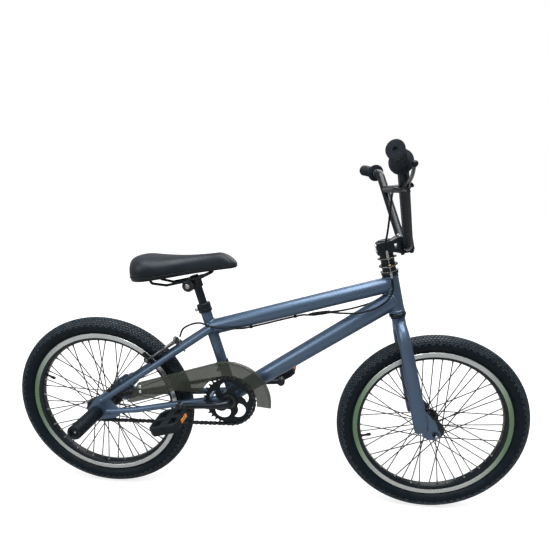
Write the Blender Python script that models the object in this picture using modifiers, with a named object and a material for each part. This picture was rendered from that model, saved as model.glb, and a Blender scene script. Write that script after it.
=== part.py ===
# Freestyle bicycle with 20 inch wheels, detangler, rear pegs and a chain guard.
# X points forwards, Y to the left, Z up. The origin is on the ground midway between the axles.

import math

import bmesh
import bpy
from mathutils import Matrix, Vector

# Fits
GAP = 0.0003                    # between two pieces that touch
SLIDE = 0.0003                  # round a shaft that turns or slides

# Wheels
WHEELBASE = 0.915
WHEEL_SIDES = 36
TYRE_RADIUS = 0.2555
TYRE_SECTION = 0.0216           # radius of the tyre's round section
TYRE_WALL = 0.0035
RIM_RADIUS = 0.2118
RIM_WIDTH = 0.0270
RIM_FLANGE = 0.0018
RIM_FLANGE_HEIGHT = 0.0060
RIM_DEPTH = 0.0215
WELL_DEPTH = 0.0045
SPOKES = 48
SPOKE_RADIUS = 0.0011
SPOKE_CROSSES = 3
FLANGE_RADIUS = 0.0280
FLANGE_THICKNESS = 0.0030
FLANGE_HOLES = 0.0250           # radius of the circle of spoke holes
HUB_RADIUS = 0.0150
HUB_END_RADIUS = 0.0100
FRONT_FLANGE = 0.0330           # each flange's distance from the wheel's middle
REAR_FLANGE = 0.0290
FRONT_HUB_HALF = 0.0497
REAR_HUB_HALF = 0.0547
AXLE_RADIUS = 0.0048
VALVE_RADIUS = 0.0040
VALVE_LENGTH = 0.0300
FRONT_VALVE_ANGLE = math.radians(195.5)
REAR_VALVE_ANGLE = math.radians(157.5)

# Drivetrain
CHAIN_PITCH = 0.0127
RING_TEETH = 34
COG_TEETH = 16
ROLLER_RADIUS = 0.0036
LINK_HALF_HEIGHT = 0.0042
PLATE_INNER = 0.0022            # chain plates' inner face, from the chain's middle
PLATE_OUTER = 0.0043
SPROCKET_THICKNESS = 0.0030
TOOTH_WIDTH = 0.0030
TOOTH_TIP_WIDTH = 0.0014
TOOTH_RISE = 0.0034             # above the pitch circle
CHAIN_LINE = 0.0430             # chain's distance from the bicycle's middle
SHELL_RADIUS = 0.0250
SHELL_HALF = 0.0340
SHELL_BORE = 0.0215
CUP_LENGTH = 0.0040
SPINDLE_RADIUS = 0.0110
CRANK_LENGTH = 0.127
CRANK_ROOT = 0.0085             # radius of the arm at the spindle
CRANK_TIP = 0.0070
CRANK_EYE = 0.0110
CRANK_PLANE = 0.0700            # the arms' distance from the middle
CRANK_ANGLE = math.radians(5.0)
CRANK_BEND = 0.0120
SPINDLE_HALF = 0.0500           # the spindle keeps its full radius this far out
EYE_HALF = 0.0080
RING_SWIRLS = 5
SWIRL_START = math.radians(11)
SWIRL_SWEEP = math.radians(63)
SWIRL_HEAD = 0.0270             # the opening's inner end, from the middle
SWIRL_OUTER = 0.0553
SWIRL_TIP = 0.0473
PEDAL_SPINDLE_RADIUS = 0.0060
PEDAL_LENGTH = 0.0740
PEDAL_WIDTH = 0.0940
PEDAL_THICKNESS = 0.0240
PEDAL_START = 0.0190            # from the crank eye's face to the pedal body
PEDAL_WINDOW = 0.0190
PEDAL_WALL = 0.0080
PEDAL_CORE = 0.0095             # half width of the pedal's middle beam
PEDAL_TILT_RIGHT = math.radians(16.0)
PEDAL_TILT_LEFT = math.radians(32.0)
REFLECTOR_LENGTH = 0.0500
REFLECTOR_HEIGHT = 0.0140
REFLECTOR_THICKNESS = 0.0030

# Frame
BRACKET_HEIGHT = 0.3080         # the cranks' centre above the ground
SEAT_ANGLE = math.radians(73.3)
HEAD_ANGLE = math.radians(75.0)
FORK_OFFSET = 0.0330
SEAT_TUBE_RADIUS = 0.0143
SEAT_TUBE_TOP = 0.5660
SEAT_BORE_DEPTH = 0.2600
HEAD_TUBE_RADIUS = 0.0190
HEAD_TUBE_BORE = 0.0165
HEAD_TUBE_START = 0.3318        # along the steering axis from the foot beside the front axle
HEAD_TUBE_LENGTH = 0.0980
TOP_TUBE_RADIUS = 0.0205
TOP_TUBE_REAR_HEIGHT = 0.4990   # where its axis meets the seat tube's
TOP_TUBE_DROP = 0.0230          # its axis below the head tube's top
TUBE_WALL = 0.0016
DOWN_TUBE_REAR_RADIUS = 0.0205
DOWN_TUBE_FRONT_RADIUS = 0.0240
DOWN_TUBE_RISE = 0.0345         # its axis above the head tube's foot
STAY_TOP_RADIUS = 0.0095
STAY_END_RADIUS = 0.0075
SEAT_STAY_HEIGHT = 0.4990
DROPOUT_OFFSET = 0.0580         # middle of each dropout from the bicycle's middle
DROPOUT_THICKNESS = 0.0060
BRIDGE_RADIUS = 0.0060
BRIDGE_BACK = 0.0620            # the lower bridge behind and below the cranks
BRIDGE_DROP = 0.0105
BRIDGE_START = 0.0270

# Fork
CROWN_TOP = 0.3185
CROWN_RADIUS = 0.0170
STEERER_RADIUS = 0.0143
STEERER_CAP_RADIUS = 0.0165
LEG_OFFSET = 0.0570
LEG_TOP_RADIUS = 0.0140
LEG_END_RADIUS = 0.0185
LEG_SIDE_RADIUS = 0.0130
LEG_FOOT = 0.0150               # along the steering axis
TIP_OFFSET = 0.0530
TIP_THICKNESS = 0.0060
TIP_RADIUS = 0.0140
NUT_RADIUS = 0.0085
NUT_HEIGHT = 0.0080

# Headset and detangler
CUP_RADIUS = 0.0215
CUP_HEIGHT = 0.0095
SPACER_RADIUS = 0.0170
DISC_THICKNESS = 0.0022
LOWER_DISC = HEAD_TUBE_START + HEAD_TUBE_LENGTH + 0.0248       # along the steering axis
UPPER_PLATE = LOWER_DISC + 0.0202
DISC_LIFT = 0.0024
EAR_REACH = 0.0270
EAR_RADIUS = 0.0048
DISC_BODY = 0.0235
CABLE_RADIUS = 0.0025
CABLE_STEP = 0.0115
WIRE_RADIUS = 0.0010
BARREL_RADIUS = 0.0032
BARREL_LENGTH = 0.0220
SPLITTER_RADIUS = 0.0050

# Bars and stem
STEM_CENTRE = 0.5013            # along the steering axis
STEM_HALF_HEIGHT = 0.0150
STEM_HALF_WIDTH = 0.0220
STEM_REACH = 0.0480
STEM_DROP = 0.0060
STEM_BACK = 0.0215
STEM_FRONT = 0.0180             # front edge ahead of the bar's centre
STEM_RISE = 0.0190
STEM_CAP_DEPTH = 0.0180
BAR_RADIUS = 0.0111
BAR_HALF_WIDTH = 0.3360
BAR_RISE = 0.1872               # grip ends above the clamped middle
BAR_SWEEP = 0.0867              # grip ends behind the clamped middle
GRIP_RISE = 0.0149              # grip ends above the upper bends
GRIP_SWEEP = 0.0340
BAR_MIDDLE_HALF = 0.0470
BAR_BEND_HALF = 0.2000
BEND_RADIUS = 0.0420
CROSSBAR_RADIUS = 0.0090
CROSSBAR_SHARE = 0.7600         # height of the crossbar up the uprights
GRIP_RADIUS = 0.0152
GRIP_LENGTH = 0.1060
GRIP_FLANGE_RADIUS = 0.0228
GRIP_FLANGE = 0.0040
END_CAP_RADIUS = 0.0157
END_CAP_THICKNESS = 0.0035

# Brake lever
LEVER_CLAMP_WIDTH = 0.0110
LEVER_CLAMP_RADIUS = 0.0160
LEVER_REACH = 0.0450            # pivot to bar
LEVER_RADIUS = 0.0036
LEVER_BALL = 0.0058

# Rear brake
BRAKE_MOUNT = 0.1040            # down the seat stays from their upper ends
BRAKE_REACH = 0.0880
BRAKE_OFFSET = 0.0200           # the pads' plane above the seat stays
BRAKE_ARM_RADIUS = 0.0037
BRAKE_ARM_SPACING = 0.0080
BRAKE_BOLT_RADIUS = 0.0030
PAD_LENGTH = 0.0500
PAD_HEIGHT = 0.0095
PAD_THICKNESS = 0.0090
PAD_GAP = 0.0018

# Pegs
PEG_RADIUS = 0.0190
PEG_WALL = 0.0035
PEG_LENGTH = 0.1050
PEG_FLOOR = 0.0060
PEG_END = 0.0080                # the closed end, with a recess and a small hole in it
PEG_RECESS = 0.0115
PEG_RECESS_DEPTH = 0.0050
PEG_HOLE = 0.0030
PEG_CHAMFER = 0.0030

# Seat
POST_RADIUS = 0.0111
POST_TOP = 0.6400
POST_LENGTH = 0.1950
COLLAR_RADIUS = 0.0182
COLLAR_HEIGHT = 0.0240
SEAT_BOLT_HEIGHT = 0.6200
SEAT_BOLT_BACK = 0.0135         # behind the post's axis, square to it
SEAT_BOLT_RADIUS = 0.0035
SEAT_DISC_RADIUS = 0.0155
RAIL_RADIUS = 0.0035
RAIL_SPREAD = 0.0220
RAIL_RISE = 0.0110              # the rails above the clamp bolt
SADDLE_REAR = -0.3520
SADDLE_NOSE = -0.0730
SADDLE_HALF_WIDTH = 0.0720
SADDLE_NOSE_HALF = 0.0230
SADDLE_BASE_REAR = 0.6330
SADDLE_BASE_SLOPE = 0.1750
SADDLE_CROWN_REAR = 0.0795
SADDLE_CROWN_NOSE = 0.0435
SADDLE_TAIL_RISE = 0.0080

# Chain guard
GUARD_PLANE = 0.0525
GUARD_THICKNESS = 0.0020
GUARD_OUTER = 0.1140
GUARD_INNER = 0.0765
GUARD_LIP = 0.0100
GUARD_STRUT_REACH = 0.0950      # up the seat tube from the cranks
GUARD_STRUT_RADIUS = 0.0035
GUARD_BAND_HALF = 0.0060
GUARD_FOOT_BACK = 0.2640        # behind the cranks, on the chain stay
GUARD_FOOT_DROP = 0.0240
GUARD_FOOT_LENGTH = 0.0140
GUARD_FOOT_HEIGHT = 0.0240

# Places worked out from the sizes above
FRONT_AXLE = Vector((WHEELBASE / 2, 0, TYRE_RADIUS))
REAR_AXLE = Vector((-WHEELBASE / 2, 0, TYRE_RADIUS))
STEER_UP = Vector((-math.cos(HEAD_ANGLE), 0, math.sin(HEAD_ANGLE)))
STEER_AHEAD = Vector((math.sin(HEAD_ANGLE), 0, math.cos(HEAD_ANGLE)))
STEER_FOOT = FRONT_AXLE - STEER_AHEAD * FORK_OFFSET
SEAT_UP = Vector((-math.cos(SEAT_ANGLE), 0, math.sin(SEAT_ANGLE)))
LEFT = Vector((0, 1, 0))
UP = Vector((0, 0, 1))
CHAIN_LINKS = 84


def pitch_radius(teeth):
    return CHAIN_PITCH / (2 * math.sin(math.pi / teeth))


RING_PITCH = pitch_radius(RING_TEETH)
COG_PITCH = pitch_radius(COG_TEETH)


def chain_length(distance):
    # Length of a belt round both pitch circles.
    lean = math.asin((RING_PITCH - COG_PITCH) / distance)
    straight = 2 * distance * math.cos(lean)
    return straight + (math.pi + 2 * lean) * RING_PITCH + (math.pi - 2 * lean) * COG_PITCH


def centre_distance():
    # The distance at which a whole number of links closes round both sprockets.
    wanted = CHAIN_LINKS * CHAIN_PITCH
    distance = wanted / 3
    for _ in range(40):
        distance += (wanted - chain_length(distance)) / 2
    return distance


CENTRES = centre_distance()
BRACKET_DROP = BRACKET_HEIGHT - TYRE_RADIUS
BRACKET = REAR_AXLE + Vector((math.sqrt(CENTRES ** 2 - BRACKET_DROP ** 2), 0, BRACKET_DROP))

parts = bpy.data.collections.new("freestyle_bmx_bike")
tools = bpy.data.collections.new("cutters")


def clear_scene():
    for obj in list(bpy.data.objects):
        bpy.data.objects.remove(obj, do_unlink=True)
    bpy.context.scene.collection.children.link(parts)
    bpy.context.scene.collection.children.link(tools)


def paint(name, colour, roughness, metallic, alpha=1.0):
    material = bpy.data.materials.new(name)
    material.use_nodes = True
    shader = material.node_tree.nodes["Principled BSDF"]
    shader.inputs["Base Color"].default_value = (*colour, 1.0)
    shader.inputs["Roughness"].default_value = roughness
    shader.inputs["Metallic"].default_value = metallic
    shader.inputs["Alpha"].default_value = alpha
    return material


BLUE = paint("frame_paint", (0.100, 0.155, 0.270), 0.35, 0.5)
BLACK = paint("black_paint", (0.012, 0.013, 0.016), 0.35, 0.0)
PLASTIC = paint("black_plastic", (0.015, 0.016, 0.018), 0.60, 0.0)
RUBBER = paint("tyre_rubber", (0.018, 0.019, 0.022), 0.75, 0.0)
SILVER = paint("bright_metal", (0.62, 0.63, 0.64), 0.25, 1.0)
STEEL = paint("dark_steel", (0.060, 0.062, 0.066), 0.35, 0.9)
SMOKE = paint("smoked_plastic", (0.130, 0.135, 0.100), 0.25, 0.0, 0.75)
AMBER = paint("amber_plastic", (0.600, 0.170, 0.020), 0.20, 0.0)
VINYL = paint("saddle_vinyl", (0.020, 0.026, 0.036), 0.45, 0.0)


def place(obj, material, cutter=False):
    (tools if cutter else parts).objects.link(obj)
    if cutter:
        obj.hide_render = True
        obj.display_type = 'WIRE'
    finish = material.copy()
    finish.name = f"{obj.name}_{material.name}"
    obj.data.materials.append(finish)
    return obj


def smooth(mesh, angle=math.radians(35)):
    mesh.shade_smooth()
    mesh.set_sharp_from_angle(angle=angle)


def from_bmesh(name, bm, material, cutter=False):
    mesh = bpy.data.meshes.new(name)
    bm.to_mesh(mesh)
    bm.free()
    smooth(mesh)
    return place(bpy.data.objects.new(name, mesh), material, cutter)


def facing(axis, origin):
    # A frame at origin whose local Z runs along axis.
    turn = UP.rotation_difference(Vector(axis).normalized()).to_matrix().to_4x4()
    return Matrix.Translation(origin) @ turn


def side_frame(origin, ahead=Vector((1, 0, 0)), up=UP):
    # Drawing plane seen from the right: local X ahead, local Y up, local Z to the right.
    columns = (ahead, up, ahead.cross(up))
    turn = Matrix([[column[row] for column in columns] for row in range(3)]).to_4x4()
    return Matrix.Translation(origin) @ turn


def add_cone(bm, start, end, radius, end_radius=None, sides=16):
    start, end = Vector(start), Vector(end)
    middle = facing(end - start, (start + end) / 2)
    bmesh.ops.create_cone(bm, cap_ends=True, segments=sides, radius1=radius,
                          radius2=radius if end_radius is None else end_radius,
                          depth=(end - start).length, matrix=middle)


def rod(name, start, end, radius, material, end_radius=None, sides=12, cutter=False):
    bm = bmesh.new()
    add_cone(bm, start, end, radius, end_radius, sides)
    return from_bmesh(name, bm, material, cutter)


def rods(name, spans, radius, material, sides=16):
    # Several like pieces, to be welded onto another object.
    bm = bmesh.new()
    for start, end in spans:
        add_cone(bm, start, end, radius, sides=sides)
    return from_bmesh(name, bm, material)


def box(name, size, frame, material, cutter=False):
    bm = bmesh.new()
    bmesh.ops.create_cube(bm, size=1.0)
    bmesh.ops.scale(bm, vec=size, verts=bm.verts)
    bmesh.ops.transform(bm, matrix=frame, verts=bm.verts)
    return from_bmesh(name, bm, material, cutter)


def turned(name, profile, frame, material, closed=True, steps=20):
    # The profile is (radius, height) pairs that run down the outer side.
    mesh = bpy.data.meshes.new(name)
    edges = [(i, i + 1) for i in range(len(profile) - 1)]
    if closed:
        edges.append((len(profile) - 1, 0))
    mesh.from_pydata([(r, 0, h) for r, h in profile], edges, [])
    obj = place(bpy.data.objects.new(name, mesh), material)
    screw = obj.modifiers.new("turn", 'SCREW')
    screw.axis = 'Z'
    screw.steps = steps
    screw.render_steps = steps
    screw.use_merge_vertices = True
    screw.merge_threshold = 0.00001
    screw.use_smooth_shade = True
    obj.matrix_world = frame
    return obj


def ring(name, outer, inner, start, end, material, steps=20):
    length = (Vector(end) - Vector(start)).length
    profile = [(inner, length), (outer, length), (outer, 0), (inner, 0)]
    return turned(name, profile, facing(Vector(end) - Vector(start), start), material, steps=steps)


def wire(name, points, radius, material, resolution=2, radii=None, cutter=False):
    data = bpy.data.curves.new(name, 'CURVE')
    data.dimensions = '3D'
    data.bevel_depth = radius
    data.bevel_resolution = resolution
    data.use_fill_caps = True
    spline = data.splines.new('POLY')
    spline.points.add(len(points) - 1)
    for index, point in enumerate(points):
        spline.points[index].co = (*point, 1.0)
        spline.points[index].radius = radii[index] if radii else 1.0
    return place(bpy.data.objects.new(name, data), material, cutter)


def plate(name, outlines, thickness, frame, material, cutter=False):
    # Flat outlines, the first with the others as holes, in the frame's XY plane.
    data = bpy.data.curves.new(name, 'CURVE')
    data.dimensions = '2D'
    data.fill_mode = 'BOTH'
    data.extrude = thickness / 2
    for outline in outlines:
        spline = data.splines.new('POLY')
        spline.points.add(len(outline) - 1)
        for index, (x, y) in enumerate(outline):
            spline.points[index].co = (x, y, 0, 1)
        spline.use_cyclic_u = True
    obj = place(bpy.data.objects.new(name, data), material, cutter)
    obj.matrix_world = frame
    return obj


def meshed(obj):
    # A curve as a closed mesh, so that it can be cut or can cut.
    bpy.context.view_layer.update()
    seen = obj.evaluated_get(bpy.context.evaluated_depsgraph_get())
    mesh = bpy.data.meshes.new_from_object(seen)
    bm = bmesh.new()
    bm.from_mesh(mesh)
    bmesh.ops.remove_doubles(bm, verts=bm.verts, dist=0.00001)
    bmesh.ops.recalc_face_normals(bm, faces=bm.faces)
    bm.to_mesh(mesh)
    bm.free()
    smooth(mesh)
    name, matrix, home = obj.name, obj.matrix_world.copy(), obj.users_collection[0]
    hidden = obj.hide_render
    bpy.data.objects.remove(obj, do_unlink=True)
    solid = bpy.data.objects.new(name, mesh)
    home.objects.link(solid)
    solid.matrix_world = matrix
    if hidden:
        solid.hide_render = True
        solid.display_type = 'WIRE'
    return solid


def combine(obj, others, operation):
    for other in others:
        step = obj.modifiers.new(other.name, 'BOOLEAN')
        step.operation = operation
        step.object = other
        step.solver = 'EXACT'
    return obj


def cut(obj, *others):
    return combine(obj, others, 'DIFFERENCE')


def join(obj, *others):
    # Welds the others onto obj, which they overlap.
    for other in others:
        parts.objects.unlink(other)
        tools.objects.link(other)
        other.hide_render = True
        other.display_type = 'WIRE'
    return combine(obj, others, 'UNION')


def rounded_path(corners, radius, step=math.radians(12)):
    # Straight runs through the corners, with an arc of this radius at each inner one.
    points = [Vector(corners[0])]
    for before, here, after in zip(corners, corners[1:], corners[2:]):
        here = Vector(here)
        back, on = (Vector(before) - here).normalized(), (Vector(after) - here).normalized()
        turn = math.pi - back.angle(on)
        if turn < math.radians(1):
            points.append(here)
            continue
        reach = radius * math.tan(turn / 2)
        centre = here + (back + on).normalized() * radius / math.cos(turn / 2)
        first = here + back * reach - centre
        axis = first.cross(here + on * reach - centre).normalized()
        count = max(2, math.ceil(turn / step))
        for index in range(count + 1):
            points.append(centre + Matrix.Rotation(turn * index / count, 3, axis) @ first)
    points.append(Vector(corners[-1]))
    return points


def smooth_path(knots, spacing):
    # A curve through chosen points, read at an even spacing.
    knots = [Vector(knot) for knot in knots]
    ends = [knots[0] * 2 - knots[1]] + knots + [knots[-1] * 2 - knots[-2]]
    points = []
    for a, b, c, d in zip(ends, ends[1:], ends[2:], ends[3:]):
        count = max(1, round((c - b).length / spacing))
        for index in range(count):
            t = index / count
            points.append(0.5 * (2 * b + (c - a) * t + (2 * a - 5 * b + 4 * c - d) * t ** 2
                                 + (3 * b - a - 3 * c + d) * t ** 3))
    return points + [knots[-1]]


def arc(centre, radius, start, end, count):
    return [(centre[0] + radius * math.cos(start + (end - start) * i / count),
             centre[1] + radius * math.sin(start + (end - start) * i / count))
            for i in range(count + 1)]


def steer_point(height, ahead=0.0, left=0.0):
    return STEER_FOOT + STEER_UP * height + STEER_AHEAD * ahead + LEFT * left


def on_seat_axis(height):
    return BRACKET + SEAT_UP * ((height - BRACKET.z) / SEAT_UP.z)


# Wheels

def tyre(where, axle):
    middle = TYRE_RADIUS - TYRE_SECTION
    bead = RIM_WIDTH / 2 - RIM_FLANGE - GAP
    side = math.radians(150)
    outer = arc((middle, 0), TYRE_SECTION, side, -side, 8)
    inner = arc((middle, 0), TYRE_SECTION - TYRE_WALL, -side, side, 4)
    foot = RIM_RADIUS - RIM_FLANGE_HEIGHT + GAP
    profile = [(foot, bead), *outer, (foot, -bead), (foot, TYRE_WALL - bead), *inner,
               (foot, bead - TYRE_WALL)]
    turned(f"{where}_tyre", profile, facing(LEFT, axle), RUBBER, steps=WHEEL_SIDES)


def rim(where, axle, valve_angle):
    half = RIM_WIDTH / 2
    inside = half - RIM_FLANGE
    seat = RIM_RADIUS - RIM_FLANGE_HEIGHT
    inner_wall = RIM_RADIUS - RIM_DEPTH
    well = seat - WELL_DEPTH
    shoulder = RIM_RADIUS - RIM_DEPTH * 0.6
    upper = [(inner_wall, half * 0.62), (shoulder, half), (RIM_RADIUS, half), (RIM_RADIUS, inside),
             (seat, inside), (well, inside * 0.6)]
    lower = [(r, -h) for r, h in reversed(upper)]
    hoop = turned(f"{where}_rim", upper + lower, facing(LEFT, axle), SILVER, steps=WHEEL_SIDES)
    out = Vector((math.cos(valve_angle), 0, math.sin(valve_angle)))
    valve = rod(f"{where}_valve", axle + out * (inner_wall + 0.003),
                axle + out * (inner_wall - VALVE_LENGTH), VALVE_RADIUS, PLASTIC, sides=10)
    join(hoop, valve)


def hub_and_spokes(where, axle, flange, half, valve_angle):
    bore = AXLE_RADIUS + SLIDE
    side = [(bore, half), (HUB_END_RADIUS, half), (HUB_END_RADIUS, flange + FLANGE_THICKNESS),
            (FLANGE_RADIUS, flange + FLANGE_THICKNESS / 2), (FLANGE_RADIUS, flange - FLANGE_THICKNESS / 2),
            (HUB_RADIUS, flange - FLANGE_THICKNESS)]
    other = [(r, -h) for r, h in reversed(side)]
    hub = turned(f"{where}_hub", side + other, facing(LEFT, axle), BLACK, steps=20)
    # Each flange's spokes leave alternately from its two faces and cross three others.
    per_side = SPOKES // 2
    wrap = math.tau * SPOKE_CROSSES / per_side
    inner_wall = (RIM_RADIUS - RIM_DEPTH) * math.cos(math.pi / WHEEL_SIDES) - 2 * GAP
    spans = []
    for index in range(SPOKES):
        side = 1 if index % 2 else -1
        turn = 1 if index // 2 % 2 else -1
        rim_angle = valve_angle + math.tau / SPOKES * (index + 0.5)
        hub_angle = rim_angle + turn * wrap
        face = flange + turn * (FLANGE_THICKNESS / 2 + SPOKE_RADIUS * 0.6)
        root = axle + Vector((FLANGE_HOLES * math.cos(hub_angle), side * face,
                              FLANGE_HOLES * math.sin(hub_angle)))
        tip = axle + Vector((inner_wall * math.cos(rim_angle), side * RIM_WIDTH * 0.12,
                             inner_wall * math.sin(rim_angle)))
        spans.append((root, tip - (tip - root).normalized() * SPOKE_RADIUS * 0.3))
    join(hub, rods(f"{where}_spoke_set", spans, SPOKE_RADIUS, BLACK, sides=3))


def axle_and_nuts(where, axle, half, nut_start):
    shaft = rod(f"{where}_axle", axle - LEFT * half, axle + LEFT * half, AXLE_RADIUS, STEEL)
    nuts = [(axle + LEFT * side * nut_start, axle + LEFT * side * (nut_start + NUT_HEIGHT))
            for side in (-1, 1)]
    join(shaft, rods(f"{where}_nut_pair", nuts, NUT_RADIUS, STEEL, sides=6))


# Drivetrain

def sprocket_outline(teeth, pitch, toward):
    # Teeth stand between the rollers, with a gap facing along "toward".
    root = pitch - ROLLER_RADIUS - 0.0004
    points = []
    for index in range(teeth):
        middle = toward + math.tau * (index + 0.5) / teeth
        foot = TOOTH_WIDTH / 2 / root
        tip = TOOTH_TIP_WIDTH / 2 / (pitch + TOOTH_RISE)
        for radius, swing in ((root, -foot), (pitch + TOOTH_RISE, -tip), (pitch + TOOTH_RISE, tip),
                              (root, foot)):
            angle = middle + swing
            points.append((radius * math.cos(angle), radius * math.sin(angle)))
    return points


def swirl(index):
    # A comma opening: a fat head near the middle and a thin tip that sweeps round to the rim.
    def outer(share):
        if share <= 0.62:
            return SWIRL_HEAD + (SWIRL_OUTER - SWIRL_HEAD) * math.sqrt(1 - (1 - share / 0.62) ** 2)
        return SWIRL_OUTER - (SWIRL_OUTER - SWIRL_TIP) * ((share - 0.62) / 0.38) ** 2

    def inner(share):
        if share <= 0.42:
            return SWIRL_HEAD - 0.0020 * math.sin(math.pi * share / 0.42)
        low = SWIRL_HEAD - 0.0015
        return low + (SWIRL_TIP - low) * ((share - 0.42) / 0.58) ** 0.62

    count = 12
    shares = [step / count for step in range(count + 1)]
    loop = [(outer(share), share) for share in shares]
    loop += [(inner(share), share) for share in shares[-2:0:-1]]
    points = []
    for radius, share in loop:
        angle = -(SWIRL_START + SWIRL_SWEEP * share + math.tau * index / RING_SWIRLS)
        points.append((radius * math.cos(angle), radius * math.sin(angle)))
    return points


def chain_run():
    # The chain's closed path in side view about the bracket, from the cog's rear round the ring.
    toward = REAR_AXLE - BRACKET
    ahead = math.atan2(-toward.z, -toward.x)
    lean = math.asin((RING_PITCH - COG_PITCH) / CENTRES)
    straight = CENTRES * math.cos(lean)
    ring_half = RING_PITCH * (math.pi / 2 + lean)
    half = ring_half + straight + COG_PITCH * (math.pi / 2 - lean)
    centre = Vector((-math.cos(ahead), -math.sin(ahead))) * CENTRES

    def at(distance):
        side = math.copysign(1, distance)
        d = abs(distance)
        if d <= ring_half:
            angle = ahead + side * d / RING_PITCH
            return Vector((math.cos(angle), math.sin(angle))) * RING_PITCH
        leave = ahead + side * (math.pi / 2 + lean)
        out = Vector((math.cos(leave), math.sin(leave)))
        if d <= ring_half + straight:
            return (out * RING_PITCH).lerp(centre + out * COG_PITCH, (d - ring_half) / straight)
        angle = leave + side * (d - ring_half - straight) / COG_PITCH
        return centre + Vector((math.cos(angle), math.sin(angle))) * COG_PITCH

    return at, half


def chain_band(name, side, at, half, middle):
    # One row of link plates as a closed band.
    count = CHAIN_LINKS // 2
    step = half / CHAIN_LINKS / 4
    bm = bmesh.new()
    rings = []
    for index in range(count):
        d = 2 * half * (index + 0.5) / count - half
        here = at(d)
        along = at(d + step) - at(d - step)
        out = Vector((along.y, -along.x)).normalized()
        corners = []
        for rise, depth in ((-1, PLATE_INNER), (-1, PLATE_OUTER), (1, PLATE_OUTER), (1, PLATE_INNER)):
            spot = here + out * rise * LINK_HALF_HEIGHT
            corners.append(bm.verts.new(middle + Vector((spot.x, side * depth, spot.y))))
        rings.append(corners)
    for one, two in zip(rings, rings[1:] + rings[:1]):
        for i in range(4):
            j = (i + 1) % 4
            bm.faces.new((one[i], one[j], two[j], two[i]))
    bmesh.ops.recalc_face_normals(bm, faces=bm.faces)
    return from_bmesh(name, bm, STEEL)


def chain():
    at, half = chain_run()
    middle = BRACKET - LEFT * CHAIN_LINE
    reach = LEFT * (PLATE_INNER + PLATE_OUTER) / 2
    rollers = []
    for index in range(0, CHAIN_LINKS, 2):
        spot = at(2 * half * index / CHAIN_LINKS - half)
        centre = middle + Vector((spot.x, 0, spot.y))
        rollers.append((centre - reach, centre + reach))
    near = chain_band("chain", -1, at, half, middle)
    far = chain_band("chain_far", 1, at, half, middle)
    join(near, far, rods("chain_rollers", rollers, ROLLER_RADIUS, STEEL, sides=4))


def sprockets():
    toward = REAR_AXLE - BRACKET
    back = math.atan2(toward.z, toward.x)
    hole = arc((0, 0), SPINDLE_RADIUS + GAP, 0, math.tau * 19 / 20, 19)
    outlines = [sprocket_outline(RING_TEETH, RING_PITCH, back + math.pi), hole]
    outlines += [swirl(index) for index in range(RING_SWIRLS)]
    plate("chainring", outlines, SPROCKET_THICKNESS, side_frame(BRACKET - LEFT * CHAIN_LINE), BLACK)
    bore = arc((0, 0), HUB_END_RADIUS + GAP, 0, math.tau * 19 / 20, 19)
    outline = sprocket_outline(COG_TEETH, COG_PITCH, back)
    plate("rear_cog", [outline, bore], SPROCKET_THICKNESS, side_frame(REAR_AXLE - LEFT * CHAIN_LINE),
          STEEL)


def crank_direction(side):
    # The right arm (side -1) points back and a little down, the left one opposite.
    return Vector((math.cos(CRANK_ANGLE), 0, math.sin(CRANK_ANGLE))) * side


def cranks():
    # One forging: the spindle with both arms, bent out of one bar.
    eyes, corners, radii = [], [], []
    for side in (-1, 1):
        out, away = LEFT * side, crank_direction(side)
        arm = [BRACKET + out * CRANK_PLANE + away * (CRANK_LENGTH - CRANK_EYE * 0.5),
               BRACKET + out * CRANK_PLANE, BRACKET + out * SPINDLE_HALF]
        corners += arm if side < 0 else arm[::-1]
        eyes.append(arm[0] + away * CRANK_EYE * 0.5)
    points = rounded_path(corners, CRANK_BEND, math.radians(18))
    for point in points:
        across = abs(point.y)
        far = math.hypot(point.x - BRACKET.x, point.z - BRACKET.z) / CRANK_LENGTH
        arm_radius = CRANK_ROOT + (CRANK_TIP - CRANK_ROOT) * far
        radii.append((arm_radius if across > CRANK_PLANE - CRANK_BEND * 1.1 else SPINDLE_RADIUS)
                     / SPINDLE_RADIUS)
    crank = meshed(wire("crank", points, SPINDLE_RADIUS, BLACK, resolution=3, radii=radii))
    ends = [rod(f"crank_eye_{index}", eye - LEFT * EYE_HALF, eye + LEFT * EYE_HALF, CRANK_EYE, BLACK)
            for index, eye in enumerate(eyes)]
    join(crank, *ends)
    bores = [rod(f"crank_bore_{index}", eye - LEFT * 0.03, eye + LEFT * 0.03, PEDAL_SPINDLE_RADIUS + GAP,
                 BLACK, cutter=True) for index, eye in enumerate(eyes)]
    cut(crank, *bores)


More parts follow.
